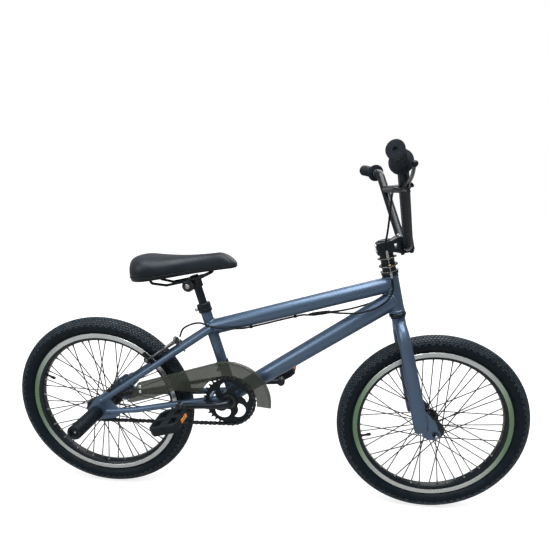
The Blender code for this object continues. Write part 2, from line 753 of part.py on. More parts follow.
def pedal(name, side, tilt):
    out = LEFT * side
    eye = BRACKET + out * (CRANK_PLANE + EYE_HALF) + crank_direction(side) * CRANK_LENGTH
    far = PEDAL_START + PEDAL_WIDTH
    rod(f"pedal_spindle_{name}", eye - out * 2 * EYE_HALF, eye + out * (far - 0.004),
        PEDAL_SPINDLE_RADIUS, STEEL)
    ahead = Vector((math.cos(tilt), 0, math.sin(tilt)))
    up = Vector((-math.sin(tilt), 0, math.cos(tilt)))
    middle = eye + out * (PEDAL_START + PEDAL_WIDTH / 2)
    columns = (ahead, LEFT, ahead.cross(LEFT))
    turn = Matrix([[column[row] for column in columns] for row in range(3)]).to_4x4()
    half, wide, corner = PEDAL_LENGTH / 2, PEDAL_WIDTH / 2, PEDAL_LENGTH * 0.16
    outline = [(half, wide - corner), (half - corner, wide), (corner - half, wide), (-half, wide - corner),
               (-half, corner - wide), (corner - half, -wide), (half - corner, -wide), (half, corner - wide)]
    body = plate(f"pedal_body_{name}", [outline], PEDAL_THICKNESS, Matrix.Translation(middle) @ turn,
                 PLASTIC)
    body = meshed(body)
    span = PEDAL_WIDTH - 2 * PEDAL_WALL
    for end in (-1, 1):
        spot = middle + ahead * end * (PEDAL_CORE + PEDAL_WINDOW / 2)
        window = box(f"pedal_window_{name}_{end + 1}", (PEDAL_WINDOW, span, PEDAL_THICKNESS * 2),
                     Matrix.Translation(spot) @ turn, PLASTIC, cutter=True)
        cut(body, window)
    bore = rod(f"pedal_bore_{name}", eye - out * 0.01, eye + out * (far + 0.02),
               PEDAL_SPINDLE_RADIUS + SLIDE, PLASTIC, cutter=True)
    cut(body, bore)
    for end in (-1, 1):
        spot = middle + ahead * end * half
        frame = Matrix.Translation(spot) @ turn
        join(body, box(f"pedal_reflector_{name}_{end + 1}",
                       (REFLECTOR_THICKNESS * 2, REFLECTOR_LENGTH, REFLECTOR_HEIGHT), frame, AMBER))


# Frame

def frame_tubes():
    head_low = steer_point(HEAD_TUBE_START)
    head_top = steer_point(HEAD_TUBE_START + HEAD_TUBE_LENGTH)
    ring("head_tube", HEAD_TUBE_RADIUS, HEAD_TUBE_BORE, head_low, head_top, BLUE)
    head_cutter = rod("head_cutter", head_low - STEER_UP * 0.05, head_top + STEER_UP * 0.05,
                      HEAD_TUBE_RADIUS + GAP, BLUE, sides=20, cutter=True)
    seat_top = on_seat_axis(SEAT_TUBE_TOP)
    seat_cutter = rod("seat_cutter", BRACKET, seat_top + SEAT_UP * 0.05, SEAT_TUBE_RADIUS + GAP, BLUE,
                      sides=20, cutter=True)
    shell_cutter = rod("shell_cutter", BRACKET - LEFT * 0.06, BRACKET + LEFT * 0.06,
                       SHELL_RADIUS + GAP, BLUE, sides=20, cutter=True)
    ring("bottom_bracket_shell", SHELL_RADIUS, SHELL_BORE, BRACKET - LEFT * SHELL_HALF,
         BRACKET + LEFT * SHELL_HALF, BLUE)
    for name, side in (("right", -1), ("left", 1)):
        out = LEFT * side
        start = BRACKET + out * (SHELL_HALF + GAP)
        ring(f"bracket_cup_{name}", SHELL_RADIUS * 0.9, SPINDLE_RADIUS + SLIDE, start,
             start + out * CUP_LENGTH, BLACK, steps=20)
    seat_tube = rod("seat_tube", BRACKET, seat_top, SEAT_TUBE_RADIUS, BLUE, sides=20)
    bore = rod("seat_bore", seat_top - SEAT_UP * SEAT_BORE_DEPTH, seat_top + SEAT_UP * 0.02,
               POST_RADIUS + SLIDE, BLUE, sides=20, cutter=True)
    cut(seat_tube, shell_cutter, bore)
    top_rear = on_seat_axis(TOP_TUBE_REAR_HEIGHT)
    top_front = head_top - STEER_UP * TOP_TUBE_DROP
    top_tube = ring("top_tube", TOP_TUBE_RADIUS, TOP_TUBE_RADIUS - TUBE_WALL, top_rear, top_front, BLUE)
    cut(top_tube, head_cutter, seat_cutter)
    past = (top_front - top_rear).normalized() * 2 * GAP
    top_cutter = rod("top_cutter", top_rear - past, top_front, TOP_TUBE_RADIUS + GAP, BLUE, sides=20,
                     cutter=True)
    down_front = head_low + STEER_UP * DOWN_TUBE_RISE
    length = (down_front - BRACKET).length
    profile = [(DOWN_TUBE_FRONT_RADIUS - TUBE_WALL, length), (DOWN_TUBE_FRONT_RADIUS, length),
               (DOWN_TUBE_REAR_RADIUS, 0), (DOWN_TUBE_REAR_RADIUS - TUBE_WALL, 0)]
    down_tube = turned("down_tube", profile, facing(down_front - BRACKET, BRACKET), BLUE)
    cut(down_tube, head_cutter, top_cutter, shell_cutter, seat_cutter)
    return (shell_cutter, top_cutter), top_rear, top_front


def stay_axis(side):
    # Seat stay end points: beside the seat tube and at the dropout.
    top = on_seat_axis(SEAT_STAY_HEIGHT) + LEFT * side * (SEAT_TUBE_RADIUS + STAY_TOP_RADIUS + GAP)
    foot = REAR_AXLE + Vector((0.016, side * DROPOUT_OFFSET, 0.034))
    return top, foot


STAY_TOP = on_seat_axis(SEAT_STAY_HEIGHT)
STAY_DOWN = (REAR_AXLE + Vector((0.016, 0, 0.034)) - STAY_TOP).normalized()
STAY_OVER = LEFT.cross(STAY_DOWN).normalized() * -1
if STAY_OVER.z < 0:
    STAY_OVER = -STAY_OVER


def brake_point(down, over, left):
    # A place by its distance down the stays, above their plane and to the left.
    return STAY_TOP + STAY_DOWN * down + STAY_OVER * over + LEFT * left


def stay_spread(down):
    # The seat stays' distance from the middle, this far down them.
    top, foot = stay_axis(1)
    share = down / (foot - STAY_TOP).dot(STAY_DOWN)
    return top.y + (foot.y - top.y) * share


def chain_stay_path(side):
    # Out from the bracket shell, past the tyre and on to the dropout, with the radii's shares.
    corners = [BRACKET + Vector((-0.020, side * 0.0235, -0.004)),
               BRACKET + Vector((-0.074, side * 0.0285, -0.012)),
               REAR_AXLE + Vector((0.222, side * 0.0375, 0.030)),
               REAR_AXLE + Vector((0.110, side * 0.0535, 0.012)),
               REAR_AXLE + Vector((0.030, side * DROPOUT_OFFSET, 0.004))]
    points = rounded_path(corners, 0.12, math.radians(6))
    shrink = STAY_END_RADIUS / STAY_TOP_RADIUS
    return points, [1 + (shrink - 1) * i / (len(points) - 1) for i in range(len(points))]


def rear_triangle(cutters):
    for name, side in (("right", -1), ("left", 1)):
        top, foot = stay_axis(side)
        shell_cutter, top_cutter = cutters
        slot = dropout_cutter(name, side)
        stay = rod(f"seat_stay_{name}", top, foot, STAY_TOP_RADIUS, BLUE,
                   end_radius=STAY_END_RADIUS, sides=16)
        cut(stay, slot, top_cutter)
        points, radii = chain_stay_path(side)
        chain_stay = meshed(wire(f"chain_stay_{name}", points, STAY_TOP_RADIUS, BLUE, resolution=3,
                                 radii=radii))
        stay_cutter = rod(f"stay_cutter_{name}", top, foot, STAY_TOP_RADIUS + GAP, BLUE,
                          end_radius=STAY_END_RADIUS + GAP, sides=16, cutter=True)
        if side < 0:
            reach = BRIDGE_START - STAY_TOP_RADIUS
            low = BRACKET + Vector((-BRIDGE_BACK, 0, -BRIDGE_DROP))
            join(chain_stay, rod("chain_stay_bridge", low - LEFT * BRIDGE_START,
                                 low + LEFT * (reach - GAP), BRIDGE_RADIUS, BLUE, sides=12))
        cut(chain_stay, shell_cutter, slot, stay_cutter)
        dropout(name, side)
    spread = stay_spread(BRAKE_MOUNT)
    bridge = rod("brake_bridge", brake_point(BRAKE_MOUNT, 0, -spread),
                 brake_point(BRAKE_MOUNT, 0, spread - STAY_TOP_RADIUS - GAP), BRIDGE_RADIUS, BLUE, sides=12)
    join(parts.objects["seat_stay_right"], bridge)
    bolt_hole = rod("bridge_hole", brake_point(BRAKE_MOUNT, -0.03, 0), brake_point(BRAKE_MOUNT, 0.03, 0),
                    BRAKE_BOLT_RADIUS + GAP, BLUE, cutter=True)
    cut(parts.objects["seat_stay_right"], bolt_hole)


def dropout_outline(grow=0.0):
    # A plate that takes both stays' ends and the axle, in side view about the axle.
    lower = arc((0, 0), 0.0245 + grow, math.radians(150), math.radians(300), 8)
    return lower + [(0.050 + grow, -0.014 - grow), (0.066 + grow, -0.004 - grow),
                    (0.066 + grow, 0.014 + grow), (0.044 + grow, 0.034 + grow * 1.5),
                    (0.036 + grow, 0.062 + grow), (0.020, 0.056 + grow), (-0.006 - grow, 0.034 + grow)]


def dropout(name, side):
    hole = arc((0, 0), AXLE_RADIUS + GAP, 0, math.tau * 15 / 16, 15)
    frame = side_frame(REAR_AXLE + LEFT * side * DROPOUT_OFFSET)
    plate(f"dropout_{name}", [dropout_outline(), hole], DROPOUT_THICKNESS, frame, BLUE)


def dropout_cutter(name, side):
    frame = side_frame(REAR_AXLE + LEFT * side * DROPOUT_OFFSET)
    slot = plate(f"dropout_slot_{name}", [dropout_outline(GAP)], DROPOUT_THICKNESS + 2 * GAP, frame, BLUE,
                 cutter=True)
    return meshed(slot)


def pegs():
    for name, side in (("right", -1), ("left", 1)):
        out = LEFT * side
        start = DROPOUT_OFFSET + DROPOUT_THICKNESS / 2 + GAP
        inner, floor = PEG_RADIUS - PEG_WALL, PEG_FLOOR
        bore = AXLE_RADIUS + GAP
        profile = [(inner, PEG_LENGTH - PEG_END), (PEG_HOLE, PEG_LENGTH - PEG_END),
                   (PEG_HOLE, PEG_LENGTH - PEG_RECESS_DEPTH), (PEG_RECESS, PEG_LENGTH - PEG_RECESS_DEPTH),
                   (PEG_RECESS, PEG_LENGTH), (PEG_RADIUS - PEG_CHAMFER, PEG_LENGTH),
                   (PEG_RADIUS, PEG_LENGTH - PEG_CHAMFER), (PEG_RADIUS, 0), (bore, 0), (bore, floor),
                   (inner, floor)]
        turned(f"rear_peg_{name}", profile, facing(out, REAR_AXLE + out * start), BLACK, steps=20)


# Fork

def leg_sections(side):
    # Oval sections from the crown to the rounded foot: height, offset, fore-aft and side radius.
    rows = []
    stations = ((CROWN_TOP - 0.0165, 0.0165, 0.0), (CROWN_TOP - 0.0200, 0.0270, 0.1),
                (CROWN_TOP - 0.0330, 0.0400, 0.25), (CROWN_TOP - 0.0560, 0.0505, 0.4),
                (CROWN_TOP - 0.0900, 0.0555, 0.55), (CROWN_TOP - 0.1400, LEG_OFFSET, 0.7),
                (LEG_FOOT + 0.0600, LEG_OFFSET, 1.0), (LEG_FOOT + 0.0200, LEG_OFFSET, 1.0),
                (LEG_FOOT + 0.0070, LEG_OFFSET, 0.86), (LEG_FOOT, LEG_OFFSET, 0.55))
    for index, (height, offset, share) in enumerate(stations):
        fore = LEG_TOP_RADIUS + (LEG_END_RADIUS - LEG_TOP_RADIUS) * min(share, 1.0)
        wide = LEG_SIDE_RADIUS
        if index >= len(stations) - 2:
            fore, wide = LEG_END_RADIUS * share, LEG_SIDE_RADIUS * share
        rows.append((steer_point(height, 0, side * offset), fore, wide))
    return rows


def loft(name, rows, ahead, material, sides=14):
    # Oval rings square to the path through the rows' centres, with capped ends.
    bm = bmesh.new()
    rings = []
    for index, (centre, fore, wide) in enumerate(rows):
        before = rows[max(index - 1, 0)][0]
        after = rows[min(index + 1, len(rows) - 1)][0]
        side = ahead.cross((after - before).normalized()).normalized()
        rings.append([bm.verts.new(centre + ahead * fore * math.cos(math.tau * i / sides)
                                   + side * wide * math.sin(math.tau * i / sides))
                      for i in range(sides)])
    for one, two in zip(rings, rings[1:]):
        for i in range(sides):
            j = (i + 1) % sides
            bm.faces.new((one[i], one[j], two[j], two[i]))
    bm.faces.new(rings[0])
    bm.faces.new(rings[-1])
    bmesh.ops.recalc_face_normals(bm, faces=bm.faces)
    return from_bmesh(name, bm, material)


def fork():
    crown_low = CROWN_TOP - 0.0310
    race_top = HEAD_TUBE_START - GAP - CUP_HEIGHT - SLIDE
    stem_top = STEM_CENTRE + STEM_HALF_HEIGHT + GAP
    cap_top = stem_top + 0.0040
    profile = [(0, cap_top), (STEERER_CAP_RADIUS, cap_top), (STEERER_CAP_RADIUS, stem_top),
               (STEERER_RADIUS, stem_top), (STEERER_RADIUS, race_top), (CROWN_RADIUS, race_top),
               (CROWN_RADIUS, crown_low), (0, crown_low)]
    turned("steerer_and_crown", profile, facing(STEER_UP, STEER_FOOT), BLUE, closed=False)
    crown_cutter = rod("crown_cutter", steer_point(crown_low - 0.03), steer_point(CROWN_TOP + 0.03),
                       CROWN_RADIUS + GAP, BLUE, sides=20, cutter=True)
    for name, side in (("right", -1), ("left", 1)):
        leg = loft(f"fork_leg_{name}", leg_sections(side), STEER_AHEAD, BLUE)
        cut(leg, crown_cutter)
        tip_frame = side_frame(FRONT_AXLE + LEFT * side * TIP_OFFSET, STEER_AHEAD, STEER_UP)
        around = arc((0, 0), TIP_RADIUS, math.radians(-110), math.radians(50), 8)
        outline = around + [(-0.016, 0.072), (-FORK_OFFSET, 0.082), (-FORK_OFFSET, -0.010)]
        hole = arc((0, 0), AXLE_RADIUS + GAP, 0, math.tau * 15 / 16, 15)
        join(leg, meshed(plate(f"fork_tip_{name}", [outline, hole], TIP_THICKNESS, tip_frame, BLUE)))


# Headset and detangler

def ear_outline(body):
    # A ring with an ear on each side for a cable end.
    swing = math.acos(EAR_RADIUS / body)
    right = arc((0, -EAR_REACH), EAR_RADIUS, math.pi, math.tau, 5)
    left = arc((0, EAR_REACH), EAR_RADIUS, 0, math.pi, 5)
    front = arc((0, 0), body, -swing, swing, 6)
    rear = arc((0, 0), body, math.pi - swing, math.pi + swing, 6)
    return front + left + rear + right


def ear_plate(name, middle, body, bore, material, wired):
    wires = [arc((0, side * EAR_REACH), WIRE_RADIUS + GAP * 2, 0, math.tau * 5 / 6, 5) for side in wired]
    hole = arc((0, 0), bore, 0, math.tau * 19 / 20, 19)
    return plate(name, [ear_outline(body), hole, *wires], DISC_THICKNESS,
                 facing(STEER_UP, steer_point(middle)), material)


def headset():
    steer_bore = STEERER_RADIUS + SLIDE
    half = DISC_THICKNESS / 2
    cup_start = HEAD_TUBE_START - GAP - CUP_HEIGHT
    ring("lower_cup", CUP_RADIUS, steer_bore, steer_point(cup_start), steer_point(cup_start + CUP_HEIGHT),
         BLACK)
    top = HEAD_TUBE_START + HEAD_TUBE_LENGTH + GAP
    ring("upper_cup", CUP_RADIUS, steer_bore, steer_point(top), steer_point(top + CUP_HEIGHT), BLACK)
    plate_low = top + CUP_HEIGHT + GAP
    ear_plate("detangler_lower_plate", plate_low + half, CUP_RADIUS, steer_bore, STEEL, (-1, 1))
    ring("headset_spacer", SPACER_RADIUS, steer_bore, steer_point(plate_low + DISC_THICKNESS + SLIDE),
         steer_point(UPPER_PLATE - half - GAP), BLACK)
    upper = meshed(ear_plate("detangler_upper_plate", UPPER_PLATE, CUP_RADIUS, steer_bore, STEEL, (-1,)))
    join(upper, ring("stem_spacer", SPACER_RADIUS, steer_bore + GAP / 2, steer_point(UPPER_PLATE),
                     steer_point(STEM_CENTRE - STEM_HALF_HEIGHT - GAP), BLACK))
    disc_bore = SPACER_RADIUS + SLIDE
    ear_plate("detangler_lower_disc", LOWER_DISC, DISC_BODY, disc_bore, SILVER, ())
    ear_plate("detangler_upper_disc", LOWER_DISC + DISC_THICKNESS + SLIDE, DISC_BODY, disc_bore, SILVER,
              (-1,))


# Bars and stem

BAR_MIDDLE = steer_point(STEM_CENTRE - STEM_DROP, STEM_REACH)
BAR_END = BAR_MIDDLE + Vector((-BAR_SWEEP, BAR_HALF_WIDTH, BAR_RISE))
BAR_BEND = BAR_END + Vector((GRIP_SWEEP, BAR_BEND_HALF - BAR_HALF_WIDTH, -GRIP_RISE))
GRIP_AXIS = (BAR_END - BAR_BEND).normalized()


def mirrored(point):
    return Vector((point.x, -point.y, point.z))


def to_side(point, side):
    return point.copy() if side > 0 else mirrored(point)


def bar_points():
    knee = BAR_MIDDLE + LEFT * BAR_MIDDLE_HALF
    half = [knee, BAR_BEND, BAR_END]
    corners = [mirrored(p) for p in reversed(half)] + half
    return rounded_path(corners, BEND_RADIUS, math.radians(14))


def handlebar():
    bar = meshed(wire("handlebar", bar_points(), BAR_RADIUS, BLACK, resolution=3))
    knee = BAR_MIDDLE + LEFT * BAR_MIDDLE_HALF
    joint = knee.lerp(BAR_BEND, CROSSBAR_SHARE)
    join(bar, rod("crossbar", mirrored(joint), joint, CROSSBAR_RADIUS, BLACK))
    for name, side in (("right", -1), ("left", 1)):
        end, axis = to_side(BAR_END, side), to_side(GRIP_AXIS, side)
        start = end - axis * GRIP_LENGTH
        bore, top = BAR_RADIUS + GAP, GRIP_LENGTH + GAP
        cap = top + END_CAP_THICKNESS
        profile = [(0, cap), (END_CAP_RADIUS * 0.9, cap), (END_CAP_RADIUS, top), (GRIP_RADIUS, top - 0.003),
                   (GRIP_RADIUS, GRIP_FLANGE + 0.003), (GRIP_FLANGE_RADIUS, GRIP_FLANGE),
                   (GRIP_FLANGE_RADIUS, 0), (bore, 0), (bore, top), (0, top)]
        turned(f"grip_{name}", profile, facing(axis, start), PLASTIC, closed=False, steps=20)


def stem():
    frame = side_frame(steer_point(STEM_CENTRE), STEER_AHEAD, STEER_UP)
    low = -STEM_HALF_HEIGHT
    split = -STEM_DROP + GAP / 2
    front = STEM_REACH + STEM_FRONT
    rear_front = STEM_REACH - STEM_FRONT
    outline = [(-STEM_BACK, low), (STEM_BACK - 0.003, low), (rear_front - 0.002, low + 0.001),
               (rear_front, split), (front, split), (front, STEM_RISE - 0.006),
               (front - 0.008, STEM_RISE), (rear_front, STEM_RISE), (STEM_BACK - 0.003, -low),
               (-STEM_BACK + 0.004, -low),
               (-STEM_BACK, -low - 0.004)]
    body = meshed(plate("stem_body", [outline], 2 * STEM_HALF_WIDTH, frame, BLACK))
    steer_cut = rod("stem_bore", steer_point(STEM_CENTRE - 0.05), steer_point(STEM_CENTRE + 0.05),
                    STEERER_RADIUS + GAP, BLACK, sides=20, cutter=True)
    bar_cut = rod("stem_bar_bore", BAR_MIDDLE - LEFT * 0.05, BAR_MIDDLE + LEFT * 0.05, BAR_RADIUS + GAP,
                  BLACK, sides=20, cutter=True)
    window_at = steer_point(STEM_CENTRE + 0.0010, (STEM_BACK - 0.004 + rear_front) / 2 + 0.0015)
    turn = side_frame(window_at, STEER_AHEAD, STEER_UP)
    window = box("stem_window", (0.0080, 0.0100, 0.080), turn, BLACK, cutter=True)
    cap_frame = frame
    cap_low = -STEM_DROP - STEM_CAP_DEPTH
    under = -STEM_DROP - GAP / 2
    cap_outline = [(rear_front + GAP, cap_low), (front, cap_low), (front, under), (rear_front + GAP, under)]
    cap = meshed(plate("stem_cap", [cap_outline], 2 * STEM_HALF_WIDTH, cap_frame, BLACK))
    cut(body, steer_cut, bar_cut, window)
    cut(cap, bar_cut)
    bolts = []
    inset = STEM_HALF_WIDTH - 0.007
    base = STEM_CENTRE + cap_low + 0.002
    for ahead in (STEM_REACH - 0.0130, STEM_REACH + 0.0130):
        for left in (-inset, inset):
            bolts.append((steer_point(base, ahead, left), steer_point(base - 0.007, ahead, left)))
    join(cap, rods("stem_bolts", bolts, 0.0035, STEEL, sides=8))
    back = -STEM_BACK + 0.002
    pinch = [(steer_point(STEM_CENTRE + h, back, side * 0.008),
              steer_point(STEM_CENTRE + h, back - 0.005, side * 0.008))
             for h in (-0.007, 0.007) for side in (-1, 1)]
    join(body, rods("stem_pinch_bolts", pinch, 0.0035, SILVER, sides=8))


LEVER_SPOT = mirrored(BAR_BEND) + mirrored(GRIP_AXIS) * 0.0250
LEVER_PIVOT = LEVER_SPOT + Vector((0.0150, 0.0060, -0.0390)).normalized() * LEVER_REACH
LEVER_TIP = LEVER_SPOT + Vector((0.0090, -0.0830, -0.0060))
LEVER_SWING = (LEVER_TIP - LEVER_PIVOT).cross(LEVER_SPOT + mirrored(GRIP_AXIS) * 0.08 - LEVER_PIVOT)
LEVER_SWING = LEVER_SWING.normalized()


def brake_lever():
    grip = mirrored(GRIP_AXIS)
    half = LEVER_CLAMP_WIDTH / 2
    clamp = ring("lever_bracket", LEVER_CLAMP_RADIUS, BAR_RADIUS + GAP, LEVER_SPOT - grip * half,
                 LEVER_SPOT + grip * half, BLACK, steps=20)
    reach = (LEVER_PIVOT - LEVER_SPOT).normalized()
    ear = LEVER_SWING
    arm = rod("lever_bracket_arm", LEVER_SPOT + reach * LEVER_CLAMP_RADIUS,
              LEVER_PIVOT - reach * 0.0105, 0.0065, BLACK, sides=10, cutter=True)
    combine(clamp, [arm], 'UNION')
    pin = rod("lever_pin", LEVER_PIVOT - ear * 0.0080, LEVER_PIVOT + ear * 0.0080, 0.0020, SILVER,
              sides=12, cutter=True)
    for side in (-1, 1):
        tab_at = LEVER_PIVOT + ear * side * 0.0062
        tab = rod(f"lever_tab_{side + 1}", tab_at - ear * 0.0012, tab_at + ear * 0.0012, 0.0120, BLACK,
                  sides=12, cutter=True)
        combine(clamp, [tab], 'UNION')
    pin_hole = rod("lever_pin_hole", LEVER_PIVOT - ear * 0.02, LEVER_PIVOT + ear * 0.02, 0.0020 + SLIDE,
                   BLACK, sides=12, cutter=True)
    combine(clamp, [pin], 'UNION')
    knots = [LEVER_PIVOT, LEVER_PIVOT.lerp(LEVER_TIP, 0.22) - reach * 0.001,
             LEVER_PIVOT.lerp(LEVER_TIP, 0.6) + reach * 0.003, LEVER_TIP]
    blade = meshed(wire("brake_lever", smooth_path(knots, 0.009), LEVER_RADIUS, SILVER, resolution=2))
    bm = bmesh.new()
    bmesh.ops.create_uvsphere(bm, u_segments=10, v_segments=6, radius=LEVER_BALL,
                              matrix=Matrix.Translation(LEVER_TIP))
    ball = from_bmesh("lever_ball", bm, SILVER, cutter=True)
    knuckle = rod("lever_knuckle", LEVER_PIVOT - ear * 0.0045, LEVER_PIVOT + ear * 0.0045, 0.0062, SILVER,
                  sides=12, cutter=True)
    combine(blade, [ball, knuckle], 'UNION')
    cut(blade, pin_hole)


def upper_cable():
    # Lever bracket to its barrel on the upper plate, then a bare wire through the moving disc.
    top = UPPER_PLATE + DISC_THICKNESS / 2 + GAP
    knots = [LEVER_PIVOT + Vector((-0.004, 0.022, -0.006)), steer_point(0.6363, 0.0249, -0.1600),
             steer_point(0.6322, 0.0248, -0.1350), steer_point(0.6200, 0.0237, -0.1050),
             steer_point(0.5820, 0.0187, -0.0620), steer_point(0.5403, 0.0085, -0.0400),
             steer_point(0.5125, 0.0000, -0.0300),
             steer_point(top + BARREL_LENGTH - 0.002, 0, -EAR_REACH)]
    cable = meshed(wire("upper_brake_cable", smooth_path(knots, CABLE_STEP), CABLE_RADIUS, PLASTIC))
    barrel = rod("upper_barrel", steer_point(top + BARREL_LENGTH, 0, -EAR_REACH),
                 steer_point(top, 0, -EAR_REACH), BARREL_RADIUS, SILVER, sides=10)
    bare = rod("upper_wire", steer_point(top + 0.002, 0, -EAR_REACH),
               steer_point(LOWER_DISC + DISC_THICKNESS / 2 + SLIDE + DISC_LIFT, 0, -EAR_REACH),
               WIRE_RADIUS, SILVER, sides=4)
    join(cable, barrel, bare)


def seat():
    post_top = on_seat_axis(POST_TOP)
    rod("seat_post", post_top - SEAT_UP * POST_LENGTH, post_top, POST_RADIUS, BLACK, sides=20)
    collar_top = on_seat_axis(SEAT_TUBE_TOP)
    clamp = ring("seat_clamp", COLLAR_RADIUS, SEAT_TUBE_RADIUS + GAP,
                 collar_top - SEAT_UP * COLLAR_HEIGHT, collar_top - SEAT_UP * 0.001, BLACK)
    back = Vector((-SEAT_UP.z, 0, SEAT_UP.x))
    bolt_at = collar_top - SEAT_UP * COLLAR_HEIGHT / 2 + back * (COLLAR_RADIUS + 0.0010)
    join(clamp, rod("seat_clamp_bolt", bolt_at - LEFT * 0.0125, bolt_at + LEFT * 0.0125, 0.0038, SILVER,
                    sides=10))
    level = on_seat_axis(SEAT_BOLT_HEIGHT)
    bolt = level + back * SEAT_BOLT_BACK
    core = rod("saddle_clamp", bolt - LEFT * 0.0120, bolt + LEFT * 0.0120, SEAT_DISC_RADIUS, STEEL, sides=16)
    collar = rod("clamp_collar", level - SEAT_UP * 0.012, level + SEAT_UP * 0.016, POST_RADIUS + 0.0042,
                 STEEL, sides=16)
    through = rod("clamp_bolt", bolt - LEFT * 0.0370, bolt + LEFT * 0.0370, SEAT_BOLT_RADIUS, SILVER)
    washers = []
    for side in (-1, 1):
        inner = RAIL_SPREAD - RAIL_RADIUS - GAP
        outer = RAIL_SPREAD + RAIL_RADIUS + GAP
        washers.append((bolt + LEFT * side * 0.0110, bolt + LEFT * side * inner))
        washers.append((bolt + LEFT * side * outer, bolt + LEFT * side * (outer + 0.005)))
    discs = rods("clamp_washers", washers, SEAT_DISC_RADIUS - 0.0005, STEEL, sides=16)
    join(core, collar, through, discs)
    cut(core, rod("clamp_post_cutter", post_top - SEAT_UP * 0.1, post_top + SEAT_UP * 0.05,
                  POST_RADIUS + GAP, STEEL, sides=20, cutter=True))
    rails(bolt)
    saddle()


def saddle_base(x):
    return SADDLE_BASE_REAR + SADDLE_BASE_SLOPE * (x - SADDLE_REAR - 0.090)


def rails(bolt):
    # One bent rod: up the left side, round under the nose and back down the right side.
    level = bolt.z + RAIL_RISE
    rear_x, front_x = bolt.x - 0.098, bolt.x + 0.054
    half = [Vector((rear_x, 0.030, saddle_base(rear_x) - 0.0012)),
            Vector((rear_x + 0.003, 0.029, level - 0.008)),
            Vector((bolt.x - 0.058, 0.0235, level - 0.0125)),
            Vector((bolt.x - 0.022, RAIL_SPREAD, level - 0.0035)),
            Vector((bolt.x + 0.030, RAIL_SPREAD, level + 0.0105)),
            Vector((front_x, 0.0140, saddle_base(front_x) - 0.0043))]
    corners = half + [mirrored(point) for point in reversed(half)]
    wire("saddle_rails", rounded_path(corners, 0.008, math.radians(30)), RAIL_RADIUS, BLACK, resolution=1)


def saddle():
    # Sections from the rear to the nose; the sides draw in below a crowned top.
    length = SADDLE_NOSE - SADDLE_REAR
    count, around = 16, 20
    rows = []
    for index in range(count + 1):
        t = 0.5 - 0.5 * math.cos(math.pi * (0.04 + 0.92 * index / count))
        x = SADDLE_REAR + length * t
        tail = math.sqrt(max(0.0, 1 - (max(0.0, 0.20 - t) / 0.20) ** 2))
        tip = math.sqrt(max(0.0, 1 - (max(0.0, t - 0.93) / 0.07) ** 2))
        taper = 1 / (1 + math.exp((t - 0.46) * 11))
        width = (SADDLE_NOSE_HALF + (SADDLE_HALF_WIDTH - SADDLE_NOSE_HALF) * taper) * tail * tip
        base = saddle_base(x) + SADDLE_TAIL_RISE * (1 - tail)
        crown = SADDLE_CROWN_NOSE + (SADDLE_CROWN_REAR - SADDLE_CROWN_NOSE) * (1 - t) ** 2.6
        crown *= 1 - 0.62 * max(0.0, (t - 0.84) / 0.16) ** 2
        crown *= 0.45 + 0.55 * tail
        rows.append((x, width, base, crown))
    bm = bmesh.new()
    loops = []
    for x, width, base, crown in rows:
        loop = []
        for i in range(around):
            angle = math.tau * i / around
            side, rise = math.cos(angle), math.sin(angle)
            bulge = math.copysign(abs(side) ** 0.75, side)
            if rise >= 0:
                z = base + crown * (0.35 + 0.65 * rise ** 0.8)
                y = width * bulge
            else:
                z = base + crown * 0.35 * (1 - min(1.0, abs(rise) * 1.7))
                y = width * bulge * (1 - 0.10 * min(1.0, abs(rise) * 1.7))
            loop.append(bm.verts.new((x, y, z)))
        loops.append(loop)
    for one, two in zip(loops, loops[1:]):
        for i in range(around):
            j = (i + 1) % around
            bm.faces.new((one[i], one[j], two[j], two[i]))
    bm.faces.new(loops[0])
    bm.faces.new(loops[-1])
    bmesh.ops.recalc_face_normals(bm, faces=bm.faces)
    from_bmesh("saddle", bm, VINYL)


# Chain guard

